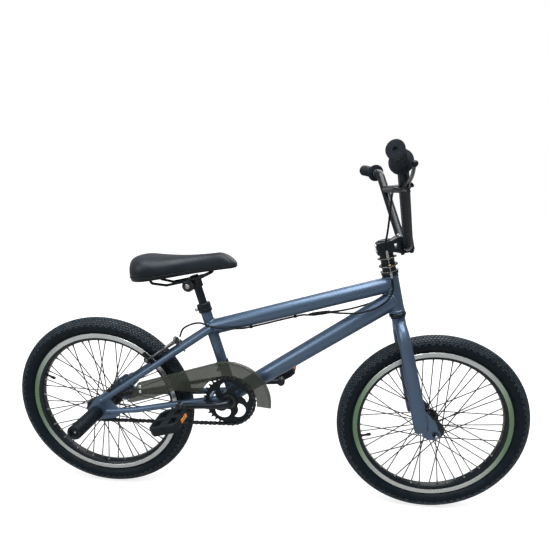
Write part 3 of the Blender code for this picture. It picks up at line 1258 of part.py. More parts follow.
def chain_guard():
    # A plate round the ring with a tail towards the axle, and a lip turned in along its top.
    front, back = math.radians(-5), math.pi / 2 + math.radians(20)
    outer = arc((0, 0), GUARD_OUTER, front, back, 12)
    inner = arc((0, 0), GUARD_INNER, math.radians(162), front, 14)
    tail_top = (-0.2500, 0.0375)
    tail = [tail_top, (-0.2830, -0.0180), (-0.2660, -0.0190), (-0.1480, 0.0245)]
    guard = meshed(plate("chain_guard", [outer + tail + inner], GUARD_THICKNESS,
                         side_frame(BRACKET - LEFT * GUARD_PLANE), SMOKE))
    within = arc((0, 0), GUARD_OUTER - GUARD_THICKNESS, front, back, 12)
    within.append((tail_top[0] + 0.0010, tail_top[1] - GUARD_THICKNESS * 1.06))
    lip_frame = side_frame(BRACKET - LEFT * (GUARD_PLANE - GUARD_LIP / 2))
    lip = meshed(plate("guard_lip", [outer + [tail_top] + within[::-1]], GUARD_LIP, lip_frame, SMOKE))
    screws = []
    for height in (0.0150, 0.0300):
        spot = BRACKET + Vector((-0.2425, -GUARD_PLANE, height))
        screws.append((spot - LEFT * 0.0030, spot + LEFT * 0.0020))
    # A band round the seat tube with a strut, and a foot on the chain stay, carry it.
    at = BRACKET + SEAT_UP * GUARD_STRUT_REACH
    band = ring("guard_band", SEAT_TUBE_RADIUS + GAP + GUARD_THICKNESS, SEAT_TUBE_RADIUS + GAP,
                at - SEAT_UP * GUARD_BAND_HALF, at + SEAT_UP * GUARD_BAND_HALF, STEEL)
    strut = rod("guard_strut", at - LEFT * (SEAT_TUBE_RADIUS + 2 * GAP), at - LEFT * GUARD_PLANE,
                GUARD_STRUT_RADIUS, STEEL, sides=8)
    foot_at = BRACKET + Vector((-GUARD_FOOT_BACK, -GUARD_PLANE, -GUARD_FOOT_DROP))
    foot = box("guard_foot", (GUARD_FOOT_LENGTH, GUARD_THICKNESS, GUARD_FOOT_HEIGHT),
               Matrix.Translation(foot_at), STEEL)
    points, radii = chain_stay_path(-1)
    stay_cutter = meshed(wire("guard_foot_cutter", points, STAY_TOP_RADIUS + GAP, STEEL, resolution=3,
                              radii=radii, cutter=True))
    cut(foot, stay_cutter)
    join(guard, lip, rods("guard_screws", screws, 0.0035, SILVER, sides=8), band, strut, foot)


def rear_brake():
    arms_top = BRAKE_OFFSET + BRAKE_ARM_SPACING / 2 + BRAKE_ARM_RADIUS
    bolt = rod("brake_centre_bolt", brake_point(BRAKE_MOUNT, -0.0170, 0),
               brake_point(BRAKE_MOUNT, arms_top + 0.006, 0), BRAKE_BOLT_RADIUS, SILVER, sides=12)
    under = -BRIDGE_RADIUS - GAP
    over_arms = arms_top + SLIDE
    nuts = [(brake_point(BRAKE_MOUNT, under - 0.006, 0), brake_point(BRAKE_MOUNT, under, 0)),
            (brake_point(BRAKE_MOUNT, over_arms, 0), brake_point(BRAKE_MOUNT, over_arms + 0.004, 0))]
    join(bolt, rods("brake_nuts", nuts, 0.0060, SILVER, sides=6))
    hole = rod("arm_bolt_hole", brake_point(BRAKE_MOUNT, -0.03, 0), brake_point(BRAKE_MOUNT, 0.05, 0),
               BRAKE_BOLT_RADIUS + SLIDE, STEEL, sides=12, cutter=True)
    pad_at = BRAKE_MOUNT + BRAKE_REACH
    face = RIM_WIDTH / 2 + PAD_GAP
    for name, side in (("right", -1), ("left", 1)):
        over = BRAKE_OFFSET - side * BRAKE_ARM_SPACING / 2
        knots = [(BRAKE_MOUNT, 0), (BRAKE_MOUNT + 0.010, side * 0.018), (BRAKE_MOUNT + 0.028, side * 0.032),
                 (BRAKE_MOUNT + 0.060, side * 0.037),
                 (pad_at + 0.002, side * (face + PAD_THICKNESS))]
        points = smooth_path([brake_point(d, over, y) for d, y in knots], 0.012)
        arm = meshed(wire(f"brake_arm_{name}", points, BRAKE_ARM_RADIUS, SILVER, resolution=1))
        eye = rod(f"brake_eye_{name}", brake_point(BRAKE_MOUNT, over - BRAKE_ARM_RADIUS, 0),
                  brake_point(BRAKE_MOUNT, over + BRAKE_ARM_RADIUS, 0), 0.0080, SILVER, cutter=True)
        reach_y = -0.024 if side > 0 else -0.030
        reach_d = BRAKE_MOUNT - 0.020 if side > 0 else BRAKE_MOUNT - 0.004
        horn = rod(f"brake_horn_{name}", brake_point(BRAKE_MOUNT, over, 0),
                   brake_point(reach_d, over, reach_y), 0.0034, SILVER, sides=10, cutter=True)
        combine(arm, [eye, horn], 'UNION')
        cut(arm, hole)
        pad_axis = LEFT.cross((brake_point(pad_at, BRAKE_OFFSET, 0) - REAR_AXLE).normalized()).normalized()
        out = pad_axis.cross(LEFT)
        columns = (pad_axis, LEFT, out)
        turn = Matrix([[column[row] for column in columns] for row in range(3)]).to_4x4()
        centre = Matrix.Translation(brake_point(pad_at, BRAKE_OFFSET, side * (face + PAD_THICKNESS / 2)))
        join(arm, box(f"brake_pad_{name}", (PAD_LENGTH, PAD_THICKNESS, PAD_HEIGHT), centre @ turn, RUBBER))


def lower_cables(top_rear, top_front):
    # Brake to splitter under the top tube, and two cables on to the lower plate's ears.
    along = (top_front - top_rear).normalized()
    under = Vector((along.z, 0, -along.x))
    drop = TOP_TUBE_RADIUS + CABLE_RADIUS + 2 * GAP

    def below(share, left, extra=0.0):
        return top_rear.lerp(top_front, share) + under * (drop + extra) + LEFT * left

    start, end = below(0.545, -0.006, 0.0035), below(0.655, -0.006, 0.009)
    run = (end - start).normalized()
    splitter = rod("lower_cables", start, end, SPLITTER_RADIUS, PLASTIC, sides=12)
    anchor = brake_point(BRAKE_MOUNT - 0.020, BRAKE_OFFSET - BRAKE_ARM_SPACING / 2, -0.024)
    knots = [start - run * GAP, start - run * 0.006, below(0.50, -0.0050), below(0.38, -0.003),
             below(0.30, -0.004), STAY_TOP + Vector((0.0988, -0.0125, 0.0083)),
             STAY_TOP + Vector((0.0801, -0.0180, 0.0070)), STAY_TOP + Vector((0.0601, -0.0220, 0.0070)),
             STAY_TOP + Vector((0.0361, -0.0250, 0.0080)), STAY_TOP + Vector((0.0141, -0.0290, 0.0105)),
             STAY_TOP + Vector((-0.0039, -0.0255, 0.0135)), STAY_TOP + Vector((-0.0219, -0.0215, 0.0175)),
             STAY_TOP + Vector((-0.0439, -0.0215, 0.0140)), STAY_TOP + Vector((-0.0689, -0.0230, 0)),
             anchor + (STAY_OVER - STAY_DOWN * 0.6) * 0.0110]
    wire("rear_brake_cable", smooth_path(knots, CABLE_STEP), CABLE_RADIUS, PLASTIC)
    plate_low = HEAD_TUBE_START + HEAD_TUBE_LENGTH + CUP_HEIGHT + 2 * GAP
    for name, side in (("right", -1), ("left", 1)):
        knots = [end - run * 0.004 + LEFT * side * 0.0010,
                 steer_point(0.3617, -0.1367, -0.003 + side * 0.0130),
                 steer_point(0.3572, -0.0965, side * 0.0280), steer_point(0.3613, -0.0539, side * 0.0320),
                 steer_point(0.3753, -0.0212, side * 0.0320), steer_point(0.3973, -0.0029, side * 0.0300),
                 steer_point(plate_low - 0.012, 0, side * EAR_REACH),
                 steer_point(plate_low - GAP, 0, side * EAR_REACH)]
        cable = meshed(wire(f"lower_cable_{name}", smooth_path(knots, CABLE_STEP), CABLE_RADIUS, PLASTIC))
        bare = rod(f"lower_wire_{name}", steer_point(plate_low - 0.003, 0, side * EAR_REACH),
                   steer_point(LOWER_DISC - DISC_THICKNESS / 2 - GAP, 0, side * EAR_REACH), WIRE_RADIUS,
                   SILVER, sides=4)
        join(splitter, cable, bare)


def group(name, at, members):
    # An empty on the joint's axis carries the pieces that move with it.
    pivot = bpy.data.objects.new(name, None)
    parts.objects.link(pivot)
    pivot.matrix_world = Matrix.Translation(at)
    bpy.context.view_layer.update()
    for member in members:
        obj = parts.objects[member]
        obj.parent = pivot
        obj.matrix_parent_inverse = pivot.matrix_world.inverted()


def group_bodies():
    group("steering", STEER_FOOT, ["steerer_and_crown", "fork_leg_right", "fork_leg_left", "front_axle",
                                   "headset_spacer", "detangler_upper_plate", "stem_body", "stem_cap",
                                   "handlebar", "grip_right", "grip_left", "lever_bracket",
                                   "upper_brake_cable"])
    group("brake_lever_pull", LEVER_PIVOT, ["brake_lever"])
    group("upper_disc_lift", steer_point(LOWER_DISC), ["detangler_upper_disc"])
    group("lower_disc_lift", steer_point(LOWER_DISC), ["detangler_lower_disc"])
    group("front_wheel_spin", FRONT_AXLE, ["front_tyre", "front_rim", "front_hub"])
    group("rear_wheel_spin", REAR_AXLE, ["rear_tyre", "rear_rim", "rear_hub"])
    group("cog_spin", REAR_AXLE, ["rear_cog"])
    group("crank_spin", BRACKET, ["crank", "chainring", "pedal_spindle_right", "pedal_spindle_left"])
    for name, side in (("right", -1), ("left", 1)):
        group(f"pedal_{name}_spin", BRACKET + crank_direction(side) * CRANK_LENGTH, [f"pedal_body_{name}"])
        group(f"brake_arm_{name}_close", brake_point(BRAKE_MOUNT, 0, 0), [f"brake_arm_{name}"])
    group("seat_height", on_seat_axis(SEAT_TUBE_TOP), ["seat_post", "saddle_clamp", "saddle_rails", "saddle"])


def build():
    clear_scene()
    for where, axle, flange, half, angle in (
            ("front", FRONT_AXLE, FRONT_FLANGE, FRONT_HUB_HALF, FRONT_VALVE_ANGLE),
            ("rear", REAR_AXLE, REAR_FLANGE, REAR_HUB_HALF, REAR_VALVE_ANGLE)):
        tyre(where, axle)
        rim(where, axle, angle)
        hub_and_spokes(where, axle, flange, half, angle)
    tip_face = TIP_OFFSET + TIP_THICKNESS / 2 + GAP
    axle_and_nuts("front", FRONT_AXLE, tip_face + NUT_HEIGHT + 0.003, tip_face)
    peg_floor = DROPOUT_OFFSET + DROPOUT_THICKNESS / 2 + GAP + PEG_FLOOR + GAP
    axle_and_nuts("rear", REAR_AXLE, peg_floor + NUT_HEIGHT + 0.005, peg_floor)
    sprockets()
    chain()
    cranks()
    pedal("right", -1, PEDAL_TILT_RIGHT)
    pedal("left", 1, PEDAL_TILT_LEFT)
    cutters, top_rear, top_front = frame_tubes()
    rear_triangle(cutters)
    pegs()
    fork()
    headset()
    handlebar()
    stem()
    brake_lever()
    upper_cable()
    lower_cables(top_rear, top_front)
    seat()
    chain_guard()
    rear_brake()
    group_bodies()


build()
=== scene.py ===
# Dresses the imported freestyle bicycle: smooth frame and fork, laced wheels, drivetrain, bars,
# detangler, brake, guard, pedals and saddle. Metres throughout, X ahead, Y to the left, Z up.
import math

import bmesh
import bpy
from mathutils import Matrix, Vector


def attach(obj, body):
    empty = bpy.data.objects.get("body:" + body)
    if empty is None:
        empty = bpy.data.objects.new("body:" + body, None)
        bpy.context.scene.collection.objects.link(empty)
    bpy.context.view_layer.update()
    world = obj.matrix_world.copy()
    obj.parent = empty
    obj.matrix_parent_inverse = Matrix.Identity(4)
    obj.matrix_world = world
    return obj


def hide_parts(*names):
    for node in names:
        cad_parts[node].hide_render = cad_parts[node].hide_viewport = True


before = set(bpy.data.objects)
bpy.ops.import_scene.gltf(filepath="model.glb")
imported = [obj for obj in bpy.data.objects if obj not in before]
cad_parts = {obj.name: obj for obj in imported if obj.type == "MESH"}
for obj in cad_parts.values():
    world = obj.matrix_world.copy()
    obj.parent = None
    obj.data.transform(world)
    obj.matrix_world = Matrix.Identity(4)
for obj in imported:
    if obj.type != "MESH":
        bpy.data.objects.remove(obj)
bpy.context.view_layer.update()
scene = bpy.context.scene
left, up = Vector((0, 1, 0)), Vector((0, 0, 1))


# Materials

def shaderOf(material):
    return material.node_tree.nodes["Principled BSDF"]


def newMaterial(name, colour, roughness, metallic=0.0, coat=0.0, coatRoughness=0.1, alpha=1.0,
                specular=0.5):
    material = bpy.data.materials.new(name)
    material.use_nodes = True
    for label, value in {"Base Color": (*colour, 1), "Roughness": roughness, "Metallic": metallic,
                         "Coat Weight": coat, "Coat Roughness": coatRoughness, "Alpha": alpha,
                         "Specular IOR Level": specular}.items():
        shaderOf(material).inputs[label].default_value = value
    return material


def wired(tree, kind, inputs=None, **settings):
    # Adds a node. Each input takes a value, or a link where it is given another node's output.
    node = tree.nodes.new(kind)
    for key, value in settings.items():
        setattr(node, key, value)
    for key, value in (inputs or {}).items():
        if isinstance(value, bpy.types.NodeSocket):
            tree.links.new(value, node.inputs[key])
        else:
            node.inputs[key].default_value = value
    return node.outputs


def maths(tree, operation, *values):
    return wired(tree, "ShaderNodeMath", dict(enumerate(values)), operation=operation)[0]


def join(material, source, label):
    material.node_tree.links.new(source, shaderOf(material).inputs[label])


def objectCoordinates(material):
    for node in material.node_tree.nodes:
        if node.bl_idname == "ShaderNodeTexCoord":
            return node.outputs["Object"]
    return wired(material.node_tree, "ShaderNodeTexCoord")["Object"]


def noise(material, scale, detail, roughness=0.5):
    return wired(material.node_tree, "ShaderNodeTexNoise",
                 {"Vector": objectCoordinates(material), "Scale": scale, "Detail": detail,
                  "Roughness": roughness})["Fac"]


def ramp(material, source, stops):
    colour = wired(material.node_tree, "ShaderNodeValToRGB", {"Fac": source})["Color"]
    elements = colour.node.color_ramp.elements
    while len(elements) < len(stops):
        elements.new(0.5)
    for element, (place, shade) in zip(elements, stops):
        element.position, element.color = place, (*shade, 1)
    return colour


def grey(value):
    return (value, value, value)


def varyColour(material, source, low, high, span=(0.35, 0.65)):
    join(material, ramp(material, source, [(span[0], low), (span[1], high)]), "Base Color")


def varyRoughness(material, source, low, high):
    join(material, ramp(material, source, [(0.35, grey(low)), (0.65, grey(high))]), "Roughness")


def addBump(material, height, strength, distance):
    bump = {"Height": height, "Strength": strength, "Distance": distance}
    join(material, wired(material.node_tree, "ShaderNodeBump", bump)["Normal"], "Normal")


def paintLook(name, dark, light, roughness, metallic, coat, specular=0.5):
    # Sprayed paint: fine flakes, a slow drift in tone and a faint orange peel.
    material = newMaterial(name, light, roughness, metallic, coat, 0.12, specular=specular)
    varyColour(material, noise(material, 900, 2.0, 0.6), dark, light, (0.30, 0.70))
    varyRoughness(material, noise(material, 14, 4.0), roughness - 0.05, roughness + 0.06)
    addBump(material, noise(material, 420, 2.0), 0.06, 0.0004)
    return material


def plasticLook(name, dark, light, roughness, grain, specular=0.18):
    material = newMaterial(name, light, roughness, specular=specular)
    varyColour(material, noise(material, 60, 4.0), dark, light)
    varyRoughness(material, noise(material, 35, 3.0), roughness - 0.06, roughness + 0.08)
    addBump(material, noise(material, grain, 3.0, 0.6), 0.25, 0.0005)
    return material


def metalLook(name, dark, light, roughness, metallic=1.0):
    # Worked metal: a fine grain and cloudy handling marks.
    material = newMaterial(name, light, roughness, metallic)
    varyColour(material, noise(material, 90, 4.0, 0.6), dark, light, (0.30, 0.75))
    varyRoughness(material, noise(material, 160, 3.0), roughness - 0.08, roughness + 0.10)
    addBump(material, noise(material, 700, 2.0), 0.12, 0.0003)
    return material


bluePaint = paintLook("slateBluePaint", (0.052, 0.092, 0.152), (0.098, 0.150, 0.228), 0.36, 0.65, 0.25)
blackPaint = paintLook("glossBlackPaint", (0.002, 0.005, 0.008), (0.004, 0.009, 0.014), 0.30, 0.0, 0.08, 0.30)
satinBlack = paintLook("satinBlackPaint", (0.002, 0.005, 0.008), (0.005, 0.009, 0.013), 0.44, 0.0, 0.0, 0.22)
pedalPlastic = plasticLook("pedalPlastic", (0.004, 0.007, 0.009), (0.010, 0.014, 0.018), 0.50, 900)
cableSheath = plasticLook("cableSheath", (0.004, 0.005, 0.007), (0.008, 0.010, 0.013), 0.38, 1200)
gripRubber = plasticLook("gripRubber", (0.007, 0.011, 0.016), (0.014, 0.020, 0.028), 0.55, 1500)
# The tread's rubber is lighter than the sidewall's: a painted highlight on the blocks.
treadRubberPaintedHighlight = plasticLook("treadRubberPaintedHighlight", (0.016, 0.026, 0.034), (0.038, 0.052, 0.066), 0.46, 1100, 0.35)
sideRubber = plasticLook("sidewallRubber", (0.002, 0.006, 0.010), (0.004, 0.010, 0.015), 0.48, 700, 0.14)
padRubber = plasticLook("padRubber", (0.008, 0.008, 0.009), (0.016, 0.016, 0.017), 0.70, 900)
brightMetal = metalLook("polishedAlloy", (0.50, 0.51, 0.52), (0.72, 0.73, 0.74), 0.24)
zincSteel = metalLook("zincPlatedSteel", (0.34, 0.34, 0.33), (0.58, 0.58, 0.56), 0.34)
darkChrome = metalLook("darkChrome", (0.060, 0.063, 0.070), (0.30, 0.31, 0.32), 0.26)
greyPlate = metalLook("dullPlate", (0.16, 0.17, 0.15), (0.30, 0.31, 0.28), 0.42, metallic=0.8)
brassMetal = metalLook("brassAdjuster", (0.42, 0.30, 0.13), (0.62, 0.47, 0.22), 0.30)
darkSteel = metalLook("oiledSteel", (0.020, 0.021, 0.023), (0.060, 0.062, 0.066), 0.36, metallic=0.85)
spokeBlack = metalLook("blackSpoke", (0.006, 0.007, 0.008), (0.014, 0.015, 0.017), 0.40, metallic=0.1)


def rimTrackLook(name, axle, ahead=True):
    # Machined brake track: fine radial cuts, and a painted reflection, a green tint on the sides ahead and
    # behind.
    material = newMaterial(name, (0.62, 0.65, 0.64), 0.30, 0.75)
    tree = material.node_tree
    centred = wired(tree, "ShaderNodeMapping", {"Vector": objectCoordinates(material), "Location": -axle})
    parts = wired(tree, "ShaderNodeSeparateXYZ", {"Vector": centred["Vector"]})
    wave = maths(tree, "SINE", maths(tree, "MULTIPLY", maths(tree, "ARCTAN2", parts["Z"], parts["X"]), 430))
    lift = maths(tree, "MULTIPLY_ADD", wave, 0.5, 0.5)
    # Painted reflection: the track turns green with distance ahead of and behind the axle.
    distance = maths(tree, "ABSOLUTE", parts["X"]) if ahead else maths(tree, "MULTIPLY", parts["X"], -1)
    trackWithPaintedReflection = ramp(material, maths(tree, "DIVIDE", distance, 0.205),
                [(0.55, (0.66, 0.69, 0.68)), (0.80, (0.42, 0.50, 0.43)), (0.97, (0.17, 0.28, 0.16))])
    lines = ramp(material, lift, [(0.0, grey(0.80)), (1.0, grey(1.0))])
    mixed = wired(tree, "ShaderNodeMix", {"Factor": 1.0, "A": trackWithPaintedReflection, "B": lines}, data_type="RGBA",
                  blend_type="MULTIPLY")
    join(material, mixed["Result"], "Base Color")
    addBump(material, lift, 0.10, 0.0003)
    varyRoughness(material, noise(material, 40, 3.0), 0.24, 0.40)
    return material


def guardLook():
    material = newMaterial("smokedPlastic", (0.034, 0.040, 0.030), 0.22, alpha=0.76, specular=0.3)
    varyColour(material, noise(material, 8, 2.0), (0.030, 0.036, 0.027), (0.040, 0.046, 0.035))
    varyRoughness(material, noise(material, 20, 3.0, 0.6), 0.18, 0.28)
    addBump(material, noise(material, 90, 2.0), 0.02, 0.0003)
    return material


def vinylLook():
    # Saddle cover: pebbled grain with a soft sheen.
    material = newMaterial("saddleVinyl", (0.006, 0.011, 0.016), 0.42, specular=0.26)
    shaderOf(material).inputs["Sheen Weight"].default_value = 0.04
    varyColour(material, noise(material, 18, 4.0), (0.004, 0.008, 0.012), (0.009, 0.015, 0.021))
    varyRoughness(material, noise(material, 30, 4.0), 0.36, 0.50)
    pebble = {"Vector": objectCoordinates(material), "Scale": 620}
    addBump(material, wired(material.node_tree, "ShaderNodeTexVoronoi", pebble)["Distance"], 0.22, 0.0005)
    return material


def amberLook():
    # Reflector: a clear amber face over rows of small prisms.
    material = newMaterial("amberReflector", (0.75, 0.20, 0.015), 0.16, coat=0.6)
    prisms = {"Vector": objectCoordinates(material), "Scale": 520}
    cells = wired(material.node_tree, "ShaderNodeTexVoronoi", prisms, distance="CHEBYCHEV")["Distance"]
    varyColour(material, cells, (0.42, 0.09, 0.008), (0.85, 0.28, 0.03), (0.15, 0.75))
    addBump(material, cells, 0.5, 0.0008)
    return material


smokedPlastic, saddleVinyl, amberReflector = guardLook(), vinylLook(), amberLook()
print("materials ready")


# Shape helpers: each adds to one bmesh, with the look's place in the piece's list of materials

def facing(axis, origin):
    turn = up.rotation_difference(Vector(axis).normalized()).to_matrix().to_4x4()
    return Matrix.Translation(origin) @ turn


def axesFrame(origin, x, y, z):
    turn = Matrix([[column[row] for column in (x, y, z)] for row in range(3)]).to_4x4()
    return Matrix.Translation(origin) @ turn


def sideFrame(origin):
    return axesFrame(origin, Vector((1, 0, 0)), up, Vector((0, -1, 0)))


def skin(shape, rings, look=0, closedAround=True, closedAlong=False, caps=(False, False)):
    # Faces between rings of vertices; a ring of one vertex is a pole.
    pairs = list(zip(rings, rings[1:]))
    if closedAlong:
        pairs.append((rings[-1], rings[0]))
    for one, two in pairs:
        count = max(len(one), len(two))
        for i in range(count if closedAround else count - 1):
            j = (i + 1) % count
            if len(one) == 1:
                corners = (one[0], two[j], two[i])
            elif len(two) == 1:
                corners = (one[i], one[j], two[0])
            else:
                corners = (one[i], one[j], two[j], two[i])
            shape.faces.new(corners).material_index = look
    for wanted, loop in zip(caps, (rings[0], rings[-1])):
        if wanted and len(loop) > 2:
            shape.faces.new(loop).material_index = look


def addTurned(shape, profile, origin, axis, look=0, sides=48, closed=False):
    # Turns (radius, height) pairs about an axis. Height zero lies at the origin.
    place = facing(axis, origin)
    rings = []
    for radius, height in profile:
        if radius < 1e-6:
            rings.append([shape.verts.new(place @ Vector((0, 0, height)))])
            continue
        rings.append([shape.verts.new(place @ Vector((radius * math.cos(math.tau * i / sides),
                                                      radius * math.sin(math.tau * i / sides), height)))
                      for i in range(sides)])
    skin(shape, rings, look, closedAlong=closed)


def bothEnds(half, total=0):
    # A profile or outline whose far half repeats the near one, mirrored.
    return half + [(radius, total - height) for radius, height in reversed(half)]


def addRod(shape, start, end, radius, look=0, sides=24):
    # A round bar with softened ends.
    length, edge = (end - start).length, 0.0004
    profile = [(0, 0), (radius - edge, 0), (radius, edge), (radius, length - edge), (radius - edge, length),
               (0, length)]
    addTurned(shape, profile, start, end - start, look, sides)


def addSweep(shape, points, radii, look=0, sides=16, flat=None, closed=False):
    # A tube along points. flat gives the share of width along a fixed direction, as (direction, share).
    points = [Vector(point) for point in points]
    if not isinstance(radii, (list, tuple)):
        radii = [radii] * len(points)
    count = len(points)
    rings, side = [], None
    for index, point in enumerate(points):
        before = points[(index - 1) % count if closed else max(index - 1, 0)]
        after = points[(index + 1) % count if closed else min(index + 1, count - 1)]
        along = (after - before).normalized()
        if side is None:
            side = along.orthogonal().normalized()
            if flat:
                side = flat[0].cross(along).normalized()
        side = (side - along * side.dot(along)).normalized()
        other = along.cross(side)
        ring = []
        for i in range(sides):
            angle = math.tau * i / sides
            offset = side * math.cos(angle) + other * math.sin(angle)
            if flat:
                direction, share = flat
                across = direction - along * direction.dot(along)
                if across.length > 0.1:
                    across.normalize()
                    offset -= across * offset.dot(across) * (1 - share)
            ring.append(shape.verts.new(point + offset * radii[index]))
        rings.append(ring)
    skin(shape, rings, look, closedAlong=closed, caps=(not closed, not closed))


def addPrism(shape, outlines, thickness, place, edge, look=0, steps=1):
    # A flat plate from an outline and its holes, with rounded edges.
    data = bpy.data.curves.new("outline", "CURVE")
    data.dimensions, data.fill_mode = "2D", "BOTH"
    data.extrude = thickness / 2 - edge
    data.bevel_depth, data.offset, data.bevel_resolution = edge, -edge, steps
    for outline in outlines:
        spline = data.splines.new("POLY")
        spline.points.add(len(outline) - 1)
        for index, (x, y) in enumerate(outline):
            spline.points[index].co = (x, y, 0, 1)
        spline.use_cyclic_u = True
    helper = bpy.data.objects.new("outline", data)
    scene.collection.objects.link(helper)
    bpy.context.view_layer.update()
    mesh = bpy.data.meshes.new_from_object(helper.evaluated_get(bpy.context.evaluated_depsgraph_get()))
    bpy.data.objects.remove(helper)
    part = bmesh.new()
    part.from_mesh(mesh)
    bpy.data.meshes.remove(mesh)
    bmesh.ops.remove_doubles(part, verts=part.verts, dist=1e-6)
    bmesh.ops.dissolve_degenerate(part, edges=part.edges, dist=1e-6)
    part.transform(place)
    addPart(shape, part, look)


def addBlock(shape, size, place, edge, look=0, steps=2):
    part = bmesh.new()
    bmesh.ops.create_cube(part, size=1)
    bmesh.ops.scale(part, vec=size, verts=part.verts)
    bmesh.ops.bevel(part, geom=part.edges[:], offset=edge, segments=steps, profile=0.5, affect="EDGES")
    part.transform(place)
    addPart(shape, part, look)


def addPart(shape, part, look):
    bmesh.ops.recalc_face_normals(part, faces=part.faces)
    for face in part.faces:
        face.material_index = look
    mesh = bpy.data.meshes.new("part")
    part.to_mesh(mesh)
    part.free()
    shape.from_mesh(mesh)
    bpy.data.meshes.remove(mesh)


def finishPiece(name, shape, materials, body, nodes=(), sharp=32):
    bmesh.ops.recalc_face_normals(shape, faces=shape.faces)
    mesh = bpy.data.meshes.new(name)
    shape.to_mesh(mesh)
    shape.free()
    mesh.shade_smooth()
    mesh.set_sharp_from_angle(angle=math.radians(sharp))
    for material in materials:
        mesh.materials.append(material)
    piece = bpy.data.objects.new(name, mesh)
    scene.collection.objects.link(piece)
    return settle(piece, body, nodes)


def paintedPiece(name, shape, nodes=(), body="frame"):
    finishPiece(name, shape, [bluePaint], body, nodes)


def settle(piece, body, nodes):
    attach(piece, body)
    if nodes:
        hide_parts(*nodes)
    return piece


def arc(centre, radius, start, end, count):
    return [(centre[0] + radius * math.cos(start + (end - start) * i / count),
             centre[1] + radius * math.sin(start + (end - start) * i / count))
            for i in range(count + 1)]


def circle(centre, radius, count):
    return arc(centre, radius, 0, math.tau * (count - 1) / count, count - 1)


def smoothPath(knots, spacing):
    knots = [Vector(knot) for knot in knots]
    ends = [knots[0] * 2 - knots[1]] + knots + [knots[-1] * 2 - knots[-2]]
    points = []
    for a, b, c, d in zip(ends, ends[1:], ends[2:], ends[3:]):
        count = max(1, round((c - b).length / spacing))
        for index in range(count):
            t = index / count
            points.append(0.5 * (2 * b + (c - a) * t + (2 * a - 5 * b + 4 * c - d) * t ** 2
                                 + (3 * b - a - 3 * c + d) * t ** 3))
    return points + [knots[-1]]


def roundedPath(corners, radius, step):
    points = [Vector(corners[0])]
    for before, here, after in zip(corners, corners[1:], corners[2:]):
        here = Vector(here)
        back, on = (Vector(before) - here).normalized(), (Vector(after) - here).normalized()
        turn = math.pi - back.angle(on)
        if turn < math.radians(1):
            points.append(here)
            continue
        reach = radius * math.tan(turn / 2)
        centre = here + (back + on).normalized() * radius / math.cos(turn / 2)
        first = here + back * reach - centre
        axis = first.cross(here + on * reach - centre).normalized()
        count = max(2, math.ceil(turn / step))
        for index in range(count + 1):
            points.append(centre + Matrix.Rotation(turn * index / count, 3, axis) @ first)
    points.append(Vector(corners[-1]))
    return points


# Geometry Nodes: copies round an axis, and copies along a path

def socketOf(tree, name):
    for item in tree.interface.items_tree:
        if item.item_type == "SOCKET" and item.in_out == "INPUT" and item.name == name:
            return item.identifier


def newTree(name, inputs):
    tree = bpy.data.node_groups.new(name, "GeometryNodeTree")
    for label, kind in {"Geometry": "Geometry", **inputs, "Finish": "Material"}.items():
        tree.interface.new_socket(label, in_out="INPUT", socket_type=f"NodeSocket{kind}")
    tree.interface.new_socket("Geometry", in_out="OUTPUT", socket_type="NodeSocketGeometry")
    return tree, wired(tree, "NodeGroupInput")


def endTree(tree, given, copies):
    real = wired(tree, "GeometryNodeRealizeInstances", {"Geometry": copies["Instances"]})["Geometry"]
    painted = wired(tree, "GeometryNodeSetMaterial", {"Geometry": real, "Material": given["Finish"]})
    wired(tree, "NodeGroupOutput", {"Geometry": painted["Geometry"]})
    return tree


def ringTree():
    tree, given = newTree("copiesRoundAxis", {"Count": "Int", "Centre": "Vector", "Axis": "Vector"})
    line = wired(tree, "GeometryNodeMeshLine", {"Count": given["Count"], "Offset": (0, 0, 0)})["Mesh"]
    place = wired(tree, "GeometryNodeSetPosition", {"Geometry": line, "Position": given["Centre"]})
    share = maths(tree, "DIVIDE", wired(tree, "GeometryNodeInputIndex")[0], given["Count"])
    turn = wired(tree, "FunctionNodeAxisAngleToRotation",
                 {"Axis": given["Axis"], "Angle": maths(tree, "MULTIPLY", share, math.tau)})
    away = wired(tree, "ShaderNodeVectorMath", {0: given["Centre"], "Scale": -1}, operation="SCALE")[0]
    local = wired(tree, "GeometryNodeTransform", {"Geometry": given["Geometry"], "Translation": away})
    return endTree(tree, given, wired(tree, "GeometryNodeInstanceOnPoints",
                                      {"Points": place["Geometry"], "Instance": local["Geometry"],
                                       "Rotation": turn["Rotation"]}))


def pathTree():
    # The object's mesh is laid on steps of a closed guide curve, its X along the guide.
    tree, given = newTree("copiesAlongPath", {"Guide": "Object", "Count": "Int", "Every": "Int",
                                              "First": "Int"})
    guide = wired(tree, "GeometryNodeObjectInfo", {"Object": given["Guide"]})["Geometry"]
    points = wired(tree, "GeometryNodeCurveToPoints", {"Curve": guide, "Count": given["Count"]},
                   mode="COUNT")
    rest = maths(tree, "MODULO", wired(tree, "GeometryNodeInputIndex")[0], given["Every"])
    same = wired(tree, "FunctionNodeCompare", {"A": rest, "B": given["First"], "Epsilon": 0.1},
                 data_type="FLOAT", operation="EQUAL")
    turn = wired(tree, "FunctionNodeAxesToRotation",
                 {"Primary Axis": points["Tangent"], "Secondary Axis": (0, 1, 0)},
                 primary_axis="X", secondary_axis="Y")
    return endTree(tree, given, wired(tree, "GeometryNodeInstanceOnPoints",
                                      {"Points": points["Points"], "Selection": same["Result"],
                                       "Instance": given["Geometry"], "Rotation": turn["Rotation"]}))


copiesRound, copiesAlong = ringTree(), pathTree()


